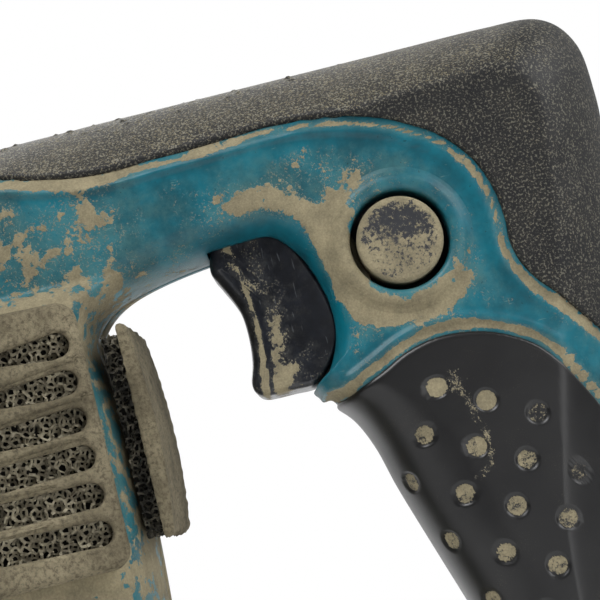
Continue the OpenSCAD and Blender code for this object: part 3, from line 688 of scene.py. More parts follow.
# Grip cover: the same rubber with a finer, smoother face, a sleeve round the rear handle below an
# arched lip. Rows of shallow round dimples give the palm some hold.
dimple_r, dimple_deep, row_step, column_step = 2.25, 0.38, np.array([-4.4, -8.6]), np.array([9.4, -4.9])
dimple_rows = [(0, 2), (0, 3), (0, 3), (0, 3), (1, 4), (1, 4), (2, 4), (2, 5), (3, 5)]  # first and last column
dimples = np.array([np.array([22.5, -26.0]) + row * row_step + n * column_step
                    for row, (first, last) in enumerate(dimple_rows) for n in range(first, last + 1)])
dimple_s, dimple_d = ring_place(dimples)
dimple_room = np.interp(dimple_s, track, track_length) - dimple_d
dimple_shown = (dimple_d > 1.5) & (dimple_room > 6) & (dimple_s < 19.9) & (dimple_s > 14.2)
dimples = ring_point(dimple_s[dimple_shown], dimple_d[dimple_shown], -1)


def dimple_gap(points):
    """Distance from points to the nearest dimple's middle, the same on both sides of the grip."""
    near = points * [1, 0, 1] - np.abs(points) * [0, 1, 0]
    return np.sqrt(((near[..., None, :] - dimples) ** 2).sum(-1)).min(axis=-1)


grip_end = 20.35
grip_s, grip_w = grip_track()


def grip_parts():
    """The grip as a sleeve: columns round the handle, rows from the arched lip down to the lower lip."""
    half_c = np.unique(np.concatenate([np.linspace(0, edge_in, 44), np.linspace(edge_in, edge_out, 92),
                                       np.linspace(edge_out, 1, 52)]))
    c = np.concatenate([half_c, half_c[::-1][1:-1]])
    side = np.concatenate([-np.ones(len(half_c)), np.ones(len(half_c) - 2)])
    side[0] = side[len(half_c) - 1] = 0
    middle_s = np.full(len(c), 17.0)
    _, _, length, _, _ = ring_frame(middle_s)
    share = ring_depth(middle_s, c) / length
    top = np.interp(share, grip_w, grip_s)
    _, _, here, _, _ = ring_frame(top)
    first = ring_point(top, share * here, -1)
    _, _, below, _, _ = ring_frame(top + 0.02)
    pace = np.linalg.norm(ring_point(top + 0.02, share * below, -1) - first, axis=1) / 0.02
    lip = lip_steps[None, :] / pace[:, None]
    rows = np.linspace(0, 1, 240)[1:]
    bottom = np.full(len(c), grip_end)
    last = lip_steps[::-1][None, :] / 17.0
    body = (top[:, None] + lip[:, -1:]) * (1 - rows) + (bottom[:, None] - last[:, :1]) * rows
    s = np.concatenate([top[:, None] + lip, body[:, :-1], bottom[:, None] - last], axis=1)
    rise = np.concatenate([lip_rise, np.ones(len(rows) - 1), lip_rise[::-1]])
    _, _, length, _, _ = ring_frame(s)
    point = ring_point(s, share[:, None] * length, np.repeat(side[:, None], s.shape[1], axis=1))
    face = normals(np.concatenate([point[-1:], point, point[:1]], axis=0))[1:-1]
    if face[100, 120, 1] > 0:
        face = -face
    gap = dimple_gap(point)
    dent = dimple_deep * ease(dimple_r + 0.3, dimple_r - 0.2, gap)
    height = rise * grip_proud - dent
    return [patch(point + face * height[..., None], close_rows=True)]


grip_finish = Finish("satin grip rubber")
grip = grip_finish.two_tone(90, 4, 0.6, 0.3, 0.7, (9, 9, 11), (19, 19, 20))
grip_crumb = grip_finish.noise(700, 5, 0.7) * 0.6 + grip_finish.noise(3000, 3, 0.6) * 0.4 - 0.05
grip_mask = (grip_crumb + grip_finish.share("dust_and_shade")).step(0.83, 0.93)
haze = (grip_finish.noise(3400, 4, 0.8) + grip_finish.noise(130, 4, 0.6) * 0.5).step(0.86, 1.05)
grip = grip_finish.blend(haze * 0.25, grip, tint(110, 104, 90))
grip_material = dusty(grip_finish, grip_mask, grip, 0.36, base_height=grip_finish.noise(5200, 2, 0.5) * 0.08)
smear = open_curve(np.array([
    [26.3, -25], [27.6, -29], [28.7, -33.5], [30, -37], [30.1, -41.7], [28.7, -44.1], [26, -45.8]]), 8)


def grip_grime(points, facing):
    """Share of dust on the grip: dried mud in the dimples, one curled smear, crumbs under the lip."""
    flat = points[:, [0, 2]]
    x, z = flat[:, 0], flat[:, 1]
    in_dimple = ease(dimple_r + 0.15, dimple_r - 0.3, dimple_gap(points))
    faded = ease(33, 42, x) * ease(-64, -46, z)
    wide = 1.7 + 1.9 * ease(-37, -28, z)
    on_smear = bell(polyline_distance(flat, smear), 0, wide) * ease(0, -4, points[:, 1])
    lip = bell(polyline_distance(flat, grip_line), 0, 1)
    return in_dimple * (0.47 - 0.13 * faded) + 0.37 * on_smear + 0.3 * lip + 0.02


piece("grip_cover_skin", grip_parts(), ["grip_cover"], material=grip_material,
      wall=0.8, dust_and_shade=grip_grime)


# Trigger: one hard nylon moulding, a finger face with broad rounded edges below the slot and an
# arm above it that turns on the pin inside the shells.
trigger_outline = np.array([
    [-15.6, 14.2], [-16.9, 9.6], [-15.8, 6.7], [-13.8, 2.5], [-12.6, -1.4], [-12.4, -6.6], [-12.9, -11.1],
    [-14, -15.3], [-13.5, -17.7], [-11.4, -18.8], [-6, -18.9], [-1, -18.8], [2.4, -16.2], [5.0, -12.4],
    [6, -9.7], [6.3, -6.4], [5.9, -3], [5, 1.2], [3.4, 5.4], [1.5, 10.2], [-0.4, 14], [-4, 15.6],
    [-9, 15.8], [-13.2, 15.4]])
trigger_round = np.array([1.2, 2.6, 3.2, 3.4, 3.4, 3.4, 3.2, 2.6, 2, 1.6, 1.4, 1.2, 1, 0.9, 0.9, 0.9, 0.9, 0.9,
                          0.9, 0.9, 0.8, 0.8, 0.8, 0.8])


def pillow(outline, radius, half, steps=8, crown=0.0):
    """Closed rounded block: an outline in X and Z, edge radii at its corners, and half its width."""
    rows = len(outline)
    table = np.column_stack([outline, radius])
    loop = smooth_track(table, np.linspace(0, rows, rows * steps, endpoint=False))
    flat, r = loop[:, :2], loop[:, 2:]
    along = np.roll(flat, -1, axis=0) - np.roll(flat, 1, axis=0)
    inward = np.column_stack([-along[:, 1], along[:, 0]]) / np.linalg.norm(along, axis=1, keepdims=True)
    middle = flat.mean(axis=0)
    if ((middle - flat) * inward).sum() < 0:
        inward = -inward
    turn = np.linspace(0, math.pi / 2, 9)
    rim = flat[:, None, :] + inward[:, None, :] * r[:, None] * (1 - np.cos(turn))[None, :, None]
    rim_y = half - r * (1 - np.sin(turn))[None, :]
    edge = rim[:, -1:, :]
    pull = np.array([0.85, 0.6, 0.3, 0])
    cap = middle + (edge - middle) * pull[None, :, None]
    cap_y = np.full(cap.shape[:2], half) + crown * (1 - pull ** 2)[None, :]
    half_flat, half_y = np.concatenate([rim, cap], axis=1), np.concatenate([rim_y, cap_y], axis=1)
    flat_all = np.concatenate([half_flat[:, ::-1], half_flat], axis=1)
    y = np.concatenate([-half_y[:, ::-1], half_y], axis=1)
    grid = np.stack([flat_all[..., 0], y, flat_all[..., 1]], axis=-1)
    return patch(grid, close_rows=True)


pin_at = np.array([-4.0, 20.0])
arm_angle = np.linspace(-0.4, math.pi + 0.4, 9)
arm_outline = np.vstack([[[-11.5, 9.5], [-2.5, 9.5], [-0.2, 14]],
                         pin_at + 3.6 * np.column_stack([np.cos(arm_angle), np.sin(arm_angle)]), [[-10.5, 14]]])
skirt_outline = np.array([
    [-8, 11], [0, 11], [4.5, 5], [7, -1], [7.3, -7], [6.0, -11.4], [2.4, -15.2], [-6, -16]])
hard_finish = Finish("glossy black nylon")
hard = hard_finish.two_tone(150, 5, 0.6, 0.3, 0.7, (12, 14, 19), (28, 31, 38))
hard_scratch = hard_finish.noise(900, 3, 0.5, (1.6, 1, 0.2)).step(0.66, 0.7)
hard = hard_finish.blend(hard_scratch * 0.3, hard, tint(110, 112, 116))
hard_haze = (hard_finish.noise(320, 8, 0.75) + hard_finish.share("dust_and_shade") * 0.6).step(0.5, 0.8)
hard = hard_finish.blend(hard_haze * 0.4, hard, tint(74, 74, 72))
hard_dust = dust_layers(hard_finish, hard_finish.share("dust_and_shade"), 1.33, 1.12)
hard_material = dusty(hard_finish, hard_dust, hard, 0.28)


def trigger_grime(points, facing):
    """Share of dust on the trigger: a band along the finger face, a clean crease and flakes beside it."""
    x, z = points[:, 0], points[:, 2]
    front = x + 12.6 - 2.2 * np.cos((z + 4) / 12)
    return (0.05 + 0.2 * bell(front, 4, 2.8) + 0.3 * bell(front, 0.3, 0.8) - 0.25 * bell(front, 1.5, 0.4)
            + 0.1 * ease(-10, -15, z) - 0.1 * ease(2, 5, x))


piece("trigger_skin", [pillow(trigger_outline, trigger_round, 9.5, crown=0.25),
                       pillow(skirt_outline, np.full(len(skirt_outline), 0.8), 8.4, steps=6),
                       pillow(arm_outline, np.full(len(arm_outline), 0.5), 4.0, steps=4)],
      ["trigger"], body="trigger", material=hard_material, dust_and_shade=trigger_grime)


# Lock button: a turned-looking nylon cap that slides in its bore, its face very slightly hollow
# inside a worn rounded rim.
face_y = (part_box("lock_button")[0].y - datum[1]) * 1000
button_profile = np.array([[0, 0.18], [3, 0.17], [6, 0.12], [7.4, 0.02], [8.0, 0], [8.45, 0.1], [8.8, 0.4],
                           [8.95, 0.9], [8.97, 4], [8.97, 9.8], [8.7, 10.1], [4, 10.1], [0, 10.1]])
button_turn = np.linspace(0, 2 * math.pi, 96, endpoint=False)
button_grid = np.stack([
    button_at[0] + np.cos(button_turn)[:, None] * button_profile[None, :, 0],
    np.repeat(face_y + button_profile[None, :, 1], 96, axis=0),
    button_at[1] + np.sin(button_turn)[:, None] * button_profile[None, :, 0]], axis=-1)
button_finish = Finish("mud-caked black nylon")
button_field = (button_finish.noise(240, 7, 0.7) * 0.55 + button_finish.noise(1300, 5, 0.75) * 0.85
                + button_finish.share("dust_and_shade"))
button_base = button_finish.blend(button_finish.noise(700, 4, 0.6), tint(22, 24, 30), tint(44, 46, 50))
button_material = dusty(button_finish, button_field.step(0.66, 0.76), button_base, 0.5)


def button_grime(points, facing):
    """Share of dust on the button: caked, worn off towards its upper rear edge and round the rim."""
    x, z = points[:, 0] - button_at[0], points[:, 2] - button_at[1]
    rim = np.hypot(x, z)
    worn = ease(-5, 6, 0.35 * x + 0.94 * z) * ease(8.0, 6.8, rim)
    return 0.09 - 0.2 * worn + 0.12 * ease(8.0, 8.5, rim) * ease(9.5, 8.8, rim)


piece("lock_button_skin", [patch(button_grid, close_rows=True)], ["lock_button"],
      body="lock_button", material=button_material, dust_and_shade=button_grime)


# Side filter covers: slotted nylon plates on a raised rim, snapped on to the tapered sides of the
# motor housing over a foam pad. Each slot's edge is rolled in.
cover_gap, cover_thick, cover_corner_r, cover_rim_r = 4.2, 2.4, 4.0, 1.9
cover_low, cover_high = np.array([rear_x - 31, -46]), np.array([rear_x, 8])
taper = math.atan2(barrel_half - rear_half, rear_x - taper_x)
slot_pitch, slot_long, slot_r, slot_rear = 7.7, 24.0, 2.5, -48.2
roll_in = np.array([[0, 1.9], [0, 1.0], [0.12, 0.55], [0.4, 0.2], [0.8, 0.04]])  # out from the slot, depth


def stadium(rear, angle, long, r, count=28):
    """Outline of a round-ended slot, in four runs: front end, top edge, rear end, bottom edge."""
    half_turn = np.linspace(0, math.pi, count, endpoint=False)
    line = np.linspace(0, 1, count, endpoint=False)[:, None]
    a, b = np.array([r - long, 0.0]), np.array([-r, 0.0])
    front = a - r * np.column_stack([np.sin(half_turn), np.cos(half_turn)])
    top = (a + [0, r]) * (1 - line) + (b + [0, r]) * line
    end = b + r * np.column_stack([np.sin(half_turn), np.cos(half_turn)])
    bottom = (b - [0, r]) * (1 - line) + (a - [0, r]) * line
    loop = np.vstack([front, top, end, bottom])
    turn = np.array([[math.cos(angle), math.sin(angle)], [-math.sin(angle), math.cos(angle)]])
    return loop @ turn + rear


def cell_frame(corners, count=28):
    """The same four runs round a four-sided cell: front, top, rear and bottom edges."""
    line = np.linspace(0, 1, count, endpoint=False)[:, None]
    a, b, c, d = (np.asarray(p, float) for p in corners)
    return np.vstack([p * (1 - line) + q * line for p, q in ((a, b), (b, c), (c, d), (d, a))])


def round_corners(flat, low_corner, high_corner, r):
    """Moves points near a rectangle's corners so that its outline has rounded ones."""
    centre, half = (low_corner + high_corner) / 2, (high_corner - low_corner) / 2
    off = flat - centre
    p = np.clip((np.abs(off) - (half - r)) / r, 0, 1)
    q = p * np.sqrt(1 - p[..., ::-1] ** 2 / 2)
    return centre + np.where(p > 0, np.sign(off) * (half - r + q * r), off)


def slotted_plate(slots, borders, place):
    """The rolled-in edge of each slot, and the plate from there to its cell's borders."""
    parts = []
    for loop, upper, lower in zip(slots, borders[:-1], borders[1:]):
        cell = cell_frame([lower[0], upper[0], upper[1], lower[1]])
        away = loop - np.roll(loop, 1, axis=0)
        out = np.column_stack([-away[:, 1], away[:, 0]])
        out = out / np.maximum(np.linalg.norm(out, axis=1, keepdims=True), tiny)
        if (out * (loop - loop.mean(axis=0))).sum() < 0:
            out = -out
        rings, depths = [loop + out * step for step, _ in roll_in], list(roll_in[:, 1])
        edge = rings[-1]
        for t in np.linspace(0, 1, 9)[1:]:
            rings.append(edge * (1 - t) + cell * t)
            depths.append(roll_in[-1, 1] * (1 - t))
        flat = round_corners(np.stack(rings, 1), cover_low, cover_high, cover_corner_r)
        parts.append(patch(place(flat, np.array(depths)), close_rows=True))
    return parts


def plate_height(flat, low_corner, high_corner, corner_r, edge_r):
    """How far a rounded edge drops below the plate's face at each point."""
    centre, half = (low_corner + high_corner) / 2, (high_corner - low_corner) / 2
    q = np.abs(flat - centre) - (half - corner_r)
    gap = corner_r - np.hypot(np.maximum(q[..., 0], 0), np.maximum(q[..., 1], 0)) - np.minimum(
        np.maximum(q[..., 0], q[..., 1]), 0)
    t = np.clip(1 - gap / edge_r, 0, 1)
    return edge_r * (1 - np.sqrt(np.maximum(1 - t ** 2, 0)))


def on_side(along, out, z, side):
    """Points by the housing's tapered side: along it from its rear edge, and out from it."""
    x = rear_x + along * math.cos(taper) + out * math.sin(taper)
    y = rear_half - along * math.sin(taper) + out * math.cos(taper)
    return np.stack([x, side * y, z], axis=-1)


def side_cover(side):
    """A side cover's slotted face and outer wall. Its slots slope less towards the bottom."""
    def place(flat, depth):
        drop = plate_height(flat, cover_low, cover_high, cover_corner_r, cover_rim_r)
        return on_side(flat[..., 0] - rear_x, cover_gap + cover_thick - depth - drop, flat[..., 1], side)

    number = np.arange(6)
    slopes, rears = np.radians(-9 + 2.2 * number), -slot_pitch * number
    slots = [stadium(np.array([slot_rear, z]), -slope, slot_long, slot_r) for z, slope in zip(rears, slopes)]
    levels = np.column_stack([rears - 0.8 * slot_long * np.sin(slopes), rears])
    levels = np.vstack([[cover_high[1]] * 2, (levels[:-1] + levels[1:]) / 2, [cover_low[1]] * 2])
    borders = [np.array([[cover_low[0], front_z], [cover_high[0], rear_z]]) for front_z, rear_z in levels]
    loop = round_corners(border_loop(borders), cover_low, cover_high, cover_corner_r)
    wall = place(np.repeat(loop[:, None, :], 5, axis=1), np.array([0, 1.0, 2.4, 3.6, 4.5]))
    return slotted_plate(slots, borders, place) + [patch(wall, close_rows=True)]


def border_loop(borders, count=28):
    """Outer outline that meets the cells point for point: up the front, over the top, down the rear."""
    line = np.linspace(0, 1, count, endpoint=False)[:, None]
    front = [b[0] for b in borders][::-1]
    rear = [b[1] for b in borders]
    runs = [p * (1 - line) + q * line for p, q in zip(front[:-1], front[1:])]
    runs.append(borders[0][0] * (1 - line) + borders[0][1] * line)
    runs += [p * (1 - line) + q * line for p, q in zip(rear[:-1], rear[1:])]
    runs.append(borders[-1][1] * (1 - line) + borders[-1][0] * line)
    return np.vstack(runs)


cover_finish = Finish("mud-coated nylon")
cover = cover_finish.two_tone(75, 5, 0.65, 0.28, 0.72, (96, 89, 72), (138, 129, 106))
cover = cover_finish.blend(cover_finish.noise(1100, 5, 0.75).step(0.4, 0.72), cover, tint(72, 66, 54))
fluff = cover_finish.noise(900, 5, 0.7) + cover_finish.noise(3600, 3, 0.6) * 0.5
cover_material = cover_finish.set(colour=cover, rough=0.95, normal=cover_finish.bump(fluff, 0.6, 0.35))
cover_finish.set(specular=0.15)
for name, side in (("left_filter_cover", -1), ("right_filter_cover", 1)):
    piece(name + "_skin", side_cover(side), [name], material=cover_material, wall=0.7)


# Filter foam: open-cell polyurethane, fine struts that meet four at a joint. The struts are dusty
# and behind them a near-black block stands in for the foam's depth as painted shade.
def foam_struts(low_corner, high_corner, cell, strut_r, seed, keep=None, place=None):
    """Three-sided struts of a jittered cell lattice inside a box, where keep(points) is true."""
    pick = np.random.default_rng(seed)
    unit = cell / 4
    tip = np.linalg.qr(np.array([[0.86, 0.3, -0.41], [-0.17, 0.93, 0.33], [0.48, -0.21, 0.85]]))[0]
    reach = np.linalg.norm(high_corner - low_corner) / 2 / unit
    n = int(reach // 4 + 1) * 4
    span = np.arange(-n, n + 1)
    i, j, k = np.meshgrid(span, span, span, indexing="ij")
    residue = np.stack([i % 4, j % 4, k % 4])
    vertex = ((residue == 0).sum(0) == 1) & ((residue == 2).sum(0) == 1)
    wobble = pick.normal(0, 0.2, (3,) + i.shape)
    centre = (low_corner + high_corner) / 2
    points = (np.stack([i, j, k]) + wobble).reshape(3, -1).T * unit @ tip + centre
    points = points.reshape(i.shape + (3,))
    starts, ends = [], []
    for a, b, c in ((1, 1, 0), (1, -1, 0), (1, 0, 1), (1, 0, -1), (0, 1, 1), (0, 1, -1)):
        first = tuple(slice(max(0, -d), len(span) - max(0, d)) for d in (a, b, c))
        second = tuple(slice(max(0, d), len(span) + min(0, d)) for d in (a, b, c))
        both = vertex[first] & vertex[second]
        starts.append(points[first][both])
        ends.append(points[second][both])
    start, end = np.vstack(starts), np.vstack(ends)
    middle = (start + end) / 2
    inside = ((middle > low_corner) & (middle < high_corner)).all(axis=1)
    if keep:
        inside &= keep(middle)
    start = np.clip(start[inside], low_corner, high_corner)
    end = np.clip(end[inside], low_corner, high_corner)
    long = np.linalg.norm(end - start, axis=1)
    start, end, long = start[long > 0.2], end[long > 0.2], long[long > 0.2]
    along = (end - start) / long[:, None]
    side = np.cross(along, [0.31, 0.52, 0.8])
    side = side / np.linalg.norm(side, axis=1, keepdims=True)
    other = np.cross(along, side)
    thick = strut_r * pick.uniform(0.75, 1.35, (len(start), 1))
    corners = []
    for t in (0, 2.1, 4.2):
        offset = (side * math.cos(t) + other * math.sin(t)) * thick
        corners += [start + offset, end + offset]
    points = np.stack(corners, axis=1).reshape(-1, 3)
    base = (np.arange(len(start)) * 6)[:, None, None]
    sides = (base + [[0, 1, 3, 2], [2, 3, 5, 4], [4, 5, 1, 0]]).reshape(-1, 4)
    caps = (base + [[0, 2, 4], [1, 5, 3]]).reshape(-1, 3)
    return place(points) if place else points, sides.tolist() + caps.tolist()


def block(low_corner, high_corner, place=None):
    """Closed box between two corners."""
    a, b = np.meshgrid([0.0, 1.0], [0.0, 1.0], indexing="ij")
    parts = []
    for axis in range(3):
        for end in (0, 1):
            grid = np.zeros((2, 2, 3))
            grid[..., axis] = end
            grid[..., (axis + 1) % 3], grid[..., (axis + 2) % 3] = a, b
            grid = low_corner + grid * (high_corner - low_corner)
            parts.append(patch(place(grid) if place else grid))
    return parts


foam_finish = Finish("dusty open-cell foam")
foam_colour = foam_finish.two_tone(330, 4, 0.6, 0.3, 0.7, (104, 97, 80), (178, 170, 146))
foam_material = foam_finish.set(colour=foam_colour, rough=0.85)
strip_finish = Finish("darker open-cell foam")
strip_colour = strip_finish.two_tone(330, 4, 0.6, 0.4, 0.75, (40, 38, 32), (116, 110, 94))
strip_material = strip_finish.set(colour=strip_colour, rough=0.8)
# The foam's depth: a near-black colour, painted shade behind the struts.
foam_shade_finish = Finish("foam depth")
foam_shade_colour = foam_shade_finish.blend(foam_shade_finish.noise(500), tint(12, 11, 9), tint(26, 24, 20))
foam_shade_material = foam_shade_finish.set(colour=foam_shade_colour, rough=1.0)


def foam(name, strut_parts, core_parts, node, strut_material):
    """A foam pad as two pieces: its struts, and behind them a dark core that is painted shade for the foam's
    depth.
    """
    piece(name + "_struts", strut_parts, [node], material=strut_material, smooth=False)
    piece(name + "_core", core_parts, [node], material=foam_shade_material, smooth=False)


foam_low, foam_high = np.array([-29.1, 0.4, -44.1]), np.array([-1.9, 3.8, 6.1])
for name, side in (("left", -1), ("right", 1)):
    def place(points):
        return on_side(points[..., 0], points[..., 1], points[..., 2], side)

    foam(name + "_foam", [foam_struts(foam_low + [0, 0.9, 0], foam_high, 2.7, 0.3, 5 + side, place=place)],
         block(foam_low, np.array([foam_high[0], 1.1, foam_high[2]]), place), name + "_filter_foam",
         foam_material)


# Rear filter: a thicker strip of the same foam held against the housing's flat rear face by a
# bowed nylon bar on two posts; mud has roughened the bar's ends.
strip_low, strip_high = np.array([-41.6, -18, -41.5]), np.array([-38.0, 18, 0.5])
strip_edge, strip_inset = [3.0, 2.2], [0, 1.8, 1.4]  # struts' depth at the sides and ends; core's inset


def near_edges(points):
    flat = points[:, 1:]
    return ((flat < strip_low[1:] + strip_edge) | (flat > strip_high[1:] - strip_edge)).any(axis=1)


foam("rear_foam", [foam_struts(strip_low, strip_high, 2.3, 0.25, 9, keep=near_edges)],
     block(strip_low + strip_inset, strip_high - strip_inset), "rear_filter_foam", strip_material)
bar_low, bar_high = np.array([-20.0, -42.0]), np.array([20.0, 2.4])
bar_back, bar_thick, bar_corner_r = -37.9, 3.6, 1.5


def bar_place(flat, depth):
    """Sets flat points (Y, Z) on the bar's bowed rear face, depth below it."""
    level = (flat[..., 1] - (bar_low[1] + bar_high[1]) / 2) / 22.5
    bow = 1.7 * level ** 2
    drop = plate_height(flat, bar_low, bar_high, bar_corner_r, 1.2)
    thick = np.maximum(bar_thick - bow, 1.4)
    x = bar_back + thick - np.minimum(depth + drop, thick)
    point = np.stack([x, flat[..., 0], flat[..., 1]], axis=-1)
    end = ease(1.5, 0, np.minimum(flat[..., 1] - bar_low[1], bar_high[1] - flat[..., 1]))
    rough = crumbs(point, 4.5, 3) * 0.45 + crumbs(point, 1.8, 8) * 0.2
    point[..., 2] += rough * end
    point[..., 0] += 0.12 * crumbs(point, 3.1, 12)
    return point


bar_y, bar_z = np.meshgrid(np.linspace(bar_low[0], bar_high[0], 60),
                           np.linspace(bar_low[1], bar_high[1], 90), indexing="ij")
bar_face = round_corners(np.stack([bar_y, bar_z], -1), bar_low, bar_high, bar_corner_r)
bar_edge = np.concatenate([bar_face[:-1, 0], bar_face[-1, :-1], bar_face[:0:-1, -1], bar_face[0, :0:-1]])
bar_deep = np.array([0, 0.5, 1.0, 1.6, 2.4, 3.6])
bar_wall = bar_place(np.repeat(bar_edge[:, None, :], len(bar_deep), axis=1), bar_deep)
bar_parts = [patch(bar_place(bar_face, np.zeros(bar_y.shape))), patch(bar_wall, close_rows=True)]
piece("rear_cover_skin", bar_parts, ["rear_filter_cover"], material=cover_material,
      wall=1.0)


# Pieces that keep their frame shape take finishes from here on. Some dust has settled on all that
# is outside, more on faces that look up.
def dress(material, *names):
    """Gives frame pieces a material in place of the one they came with."""
    for name in names:
        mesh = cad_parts[name].data
        mesh.materials.clear()
        mesh.materials.append(material)


def plain(name, dark, light, rough, metal=0.0, mottle=150, grain=2500, relief=0.15, deep=0.1, dust=0.0):
    """Finish that runs between two tones, with fine relief and, outdoors, a share of settled dust."""
    finish = Finish(name)
    colour = finish.two_tone(mottle, 6, 0.62, 0.3, 0.7, dark, light)
    normal = finish.bump(finish.noise(grain, 3, 0.6), relief, deep)
    varied = finish.noise(mottle * 2, 4, 0.6) * 0.2 + (rough - 0.1)
    if dust:
        up = finish.node("ShaderNodeSeparateXYZ", None,
                         {0: finish.node("ShaderNodeNewGeometry").outputs["Normal"]}).outputs[2]
        field = finish.noise(90, 8, 0.68) + finish.noise(900, 5, 0.7) * 0.5 + Value(finish.tree, up) * 0.12
        laid = (field + dust).step(0.98, 1.08)
        colour = finish.blend(laid, colour, dust_colour(finish))
        varied, metal = laid * (dust_rough - rough) + varied, (1 - laid) * metal
    return finish.set(colour=colour, rough=varied, normal=normal, metal=metal)


# Covered pieces: the frame's own shapes of the skins above wear the same finishes.
dress(teal_material, "left_shell", "right_shell")
dress(rubber_material, "top_bumper")
dress(grip_material, "grip_cover")
dress(hard_material, "trigger")
dress(button_material, "lock_button")
dress(cover_material, "left_filter_cover", "right_filter_cover", "rear_filter_cover")
dress(foam_material, "left_filter_foam", "right_filter_foam", "rear_filter_foam")

# Fasteners, pin and springs: zinc-plated steel screws driven from the right, a hardened pin and
# two drawn-wire springs.
zinc_material = plain("zinc-plated steel", (120, 120, 118), (168, 168, 164), 0.34, 1.0, grain=5000,
                      relief=0.1)
outdoor_zinc = plain("dusty zinc-plated steel", (112, 112, 108), (160, 160, 155), 0.4, 1.0, dust=0.08)
dress(zinc_material, "trigger_pin", "trigger_spring", "lock_spring", "gauge_case")
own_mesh(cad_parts["trigger_spring"], "trigger_pull", axis=(1, 0, 0),
          anchor=tuple(metres([13.9, 0, -4])), keep=0.5)
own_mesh(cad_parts["lock_spring"], "lock_press", axis=(0, 1, 0),
          anchor=tuple(metres([button_at[0], -5, button_at[1]])), keep=0.14)
dress(outdoor_zinc, "housing_screws", "head_bolts", "stand_screws")

# Switch and cord entry: a black phenolic switch block, and a moulded rubber gland for the lead.
dress(plain("switch phenolic", (20, 20, 22), (36, 36, 38), 0.45), "switch_module")
dress(plain("gland rubber", (22, 22, 21), (44, 43, 40), 0.65, dust=0.1), "cord_gland", "rubber_feet")

# Brush gear: a paper-phenolic bulkhead holds two brass brush tubes with carbon brushes, kept in by
# screw caps on the outside.
dress(plain("paper phenolic", (96, 58, 28), (134, 88, 48), 0.5, grain=4000), "brush_bulkhead")
dress(plain("drawn brass", (168, 132, 62), (202, 168, 92), 0.3, 1.0), "brush_holders")
dress(plain("carbon", (20, 20, 21), (40, 40, 42), 0.55, relief=0.3), "carbon_brushes", "pump_vanes")
dress(plain("cap nylon", (24, 24, 25), (44, 43, 41), 0.5, dust=0.08), "brush_caps", "ballast_knob",
      "fan_baffle")

# Motor: pressed steel laminations stacked along the shaft, varnished copper windings, copper
# commutator bars, ground shaft and bearings, and a glass-filled nylon fan.
stack = Finish("stacked laminations")
edges = stack.node("ShaderNodeTexWave", {"wave_type": "BANDS", "bands_direction": "X"},
                   {"Vector": stack.place, "Scale": 320.0, "Distortion": 0.3, "Detail": 1.0})
edges = Value(stack.tree, edges.outputs["Fac"])
stack_colour = stack.blend(edges.step(0.2, 0.5), tint(46, 46, 50), tint(120, 120, 124))
lamination_material = stack.set(colour=stack_colour, rough=0.45, metal=0.9,
                                normal=stack.bump(edges, 0.4, 0.15))
dress(lamination_material, "armature_core", "stator_core")
wire = Finish("varnished copper windings")
turns = wire.node("ShaderNodeTexWave", {"wave_type": "RINGS", "rings_direction": "X"},
                  {"Vector": wire.place, "Scale": 300.0, "Distortion": 1.2, "Detail": 2.0})
turns = Value(wire.tree, turns.outputs["Fac"])
wire_colour = wire.blend(turns, tint(112, 48, 20), tint(190, 98, 50))
wire_material = wire.set(colour=wire_colour, rough=0.3, metal=0.85, coat=0.6,
                         normal=wire.bump(turns, 0.6, 0.3))
dress(wire_material, "armature_windings", "field_coils")
dress(plain("commutator copper", (150, 84, 50), (198, 124, 82), 0.28, 1.0), "commutator")
ground_material = plain("ground steel", (132, 133, 136), (170, 171, 174), 0.2, 1.0, grain=8000,
                        relief=0.05)
dress(ground_material, "rear_bearing", "front_bearing", "motor_shaft", "pump_rotor")
dress(plain("glass-filled fan nylon", (170, 166, 152), (204, 200, 186), 0.5), "cooling_fan")

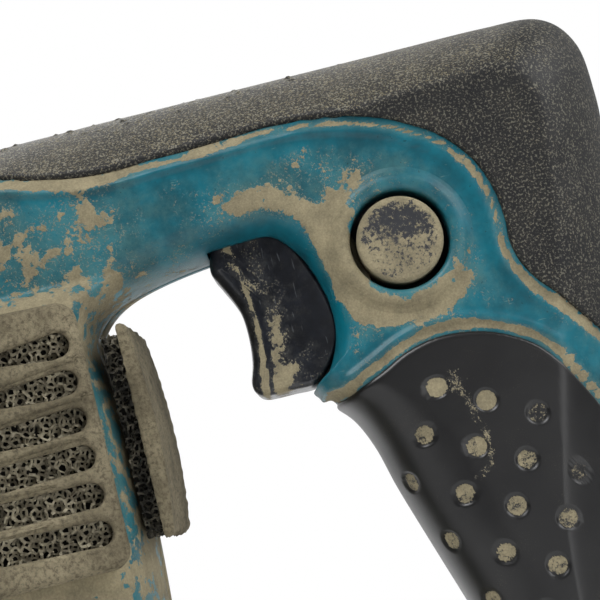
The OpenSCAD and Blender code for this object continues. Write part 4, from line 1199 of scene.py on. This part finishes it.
# Pump: sand-cast and machined aluminium castings with a fibre gasket between, brass spigot and a
# sintered bronze muffler.
cast_material = plain("cast aluminium", (118, 118, 116), (158, 158, 154), 0.48, 0.9, 60, 1500, 0.45,
                      0.25, 0.1)
dress(cast_material, "pump_adapter", "pump_cylinder", "pump_head", "front_cover")
dress(plain("fibre gasket", (52, 66, 60), (78, 92, 84), 0.85, relief=0.4), "head_gasket")
dress(plain("turned brass", (160, 126, 60), (196, 164, 92), 0.3, 1.0, dust=0.02), "hose_spigot")
dress(plain("sintered bronze", (120, 88, 50), (172, 134, 84), 0.6, 0.9, 400, 3800, 0.9, 0.35, 0.02),
      "exhaust_muffler")

# Gauge: a pressed case, an enamelled dial with plain ticks over three quarters of a turn, a red
# pointer, and a clear lens. The oil sight glass is the same clear plastic.
dial_low, dial_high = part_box("gauge_dial")
dial = Finish("enamelled dial")
axes = dial.node("ShaderNodeSeparateXYZ", None, {0: dial.place})
across = Value(dial.tree, axes.outputs[0]) - (dial_low.x + dial_high.x) / 2
upward = Value(dial.tree, axes.outputs[2]) - (dial_low.z + dial_high.z) / 2
dial_r = (dial_high.x - dial_low.x) / 2
squares = across * across + upward * upward
away = squares.math("SQRT", squares)
swing = across.math("ARCTAN2", across, upward)
band = away.step(dial_r * 0.74, dial_r * 0.76) - away.step(dial_r * 0.9, dial_r * 0.92)
ticks = swing.math("COSINE", swing * 27).step(0.86, 0.94)
spread = 1 - swing.math("ABSOLUTE", swing).step(2.34, 2.38)
enamel = dial.blend(dial.noise(300), tint(214, 212, 202), tint(232, 230, 222))
dial_colour = dial.blend(ticks * band * spread, enamel, tint(18, 18, 18))
dress(dial.set(colour=dial_colour, rough=0.35), "gauge_dial")
dress(plain("pointer enamel", (150, 20, 16), (188, 34, 26), 0.35), "gauge_needle")
clear = Finish("clear plastic")
clear_rough = clear.noise(300, 5, 0.6).step(0.45, 0.8) * 0.2 + 0.05
clear_colour = clear.blend(clear.noise(200), tint(225, 232, 228), tint(240, 242, 238))
dress(clear.set(colour=clear_colour, rough=clear_rough, through=1.0), "gauge_lens", "sight_glass")

# Stand: folded steel plate in dark powder coat with a fine orange-peel skin.
dress(plain("powder coat", (34, 37, 40), (52, 56, 60), 0.5, 0.0, 40, 900, 0.3, 0.2, 0.06), "stand")
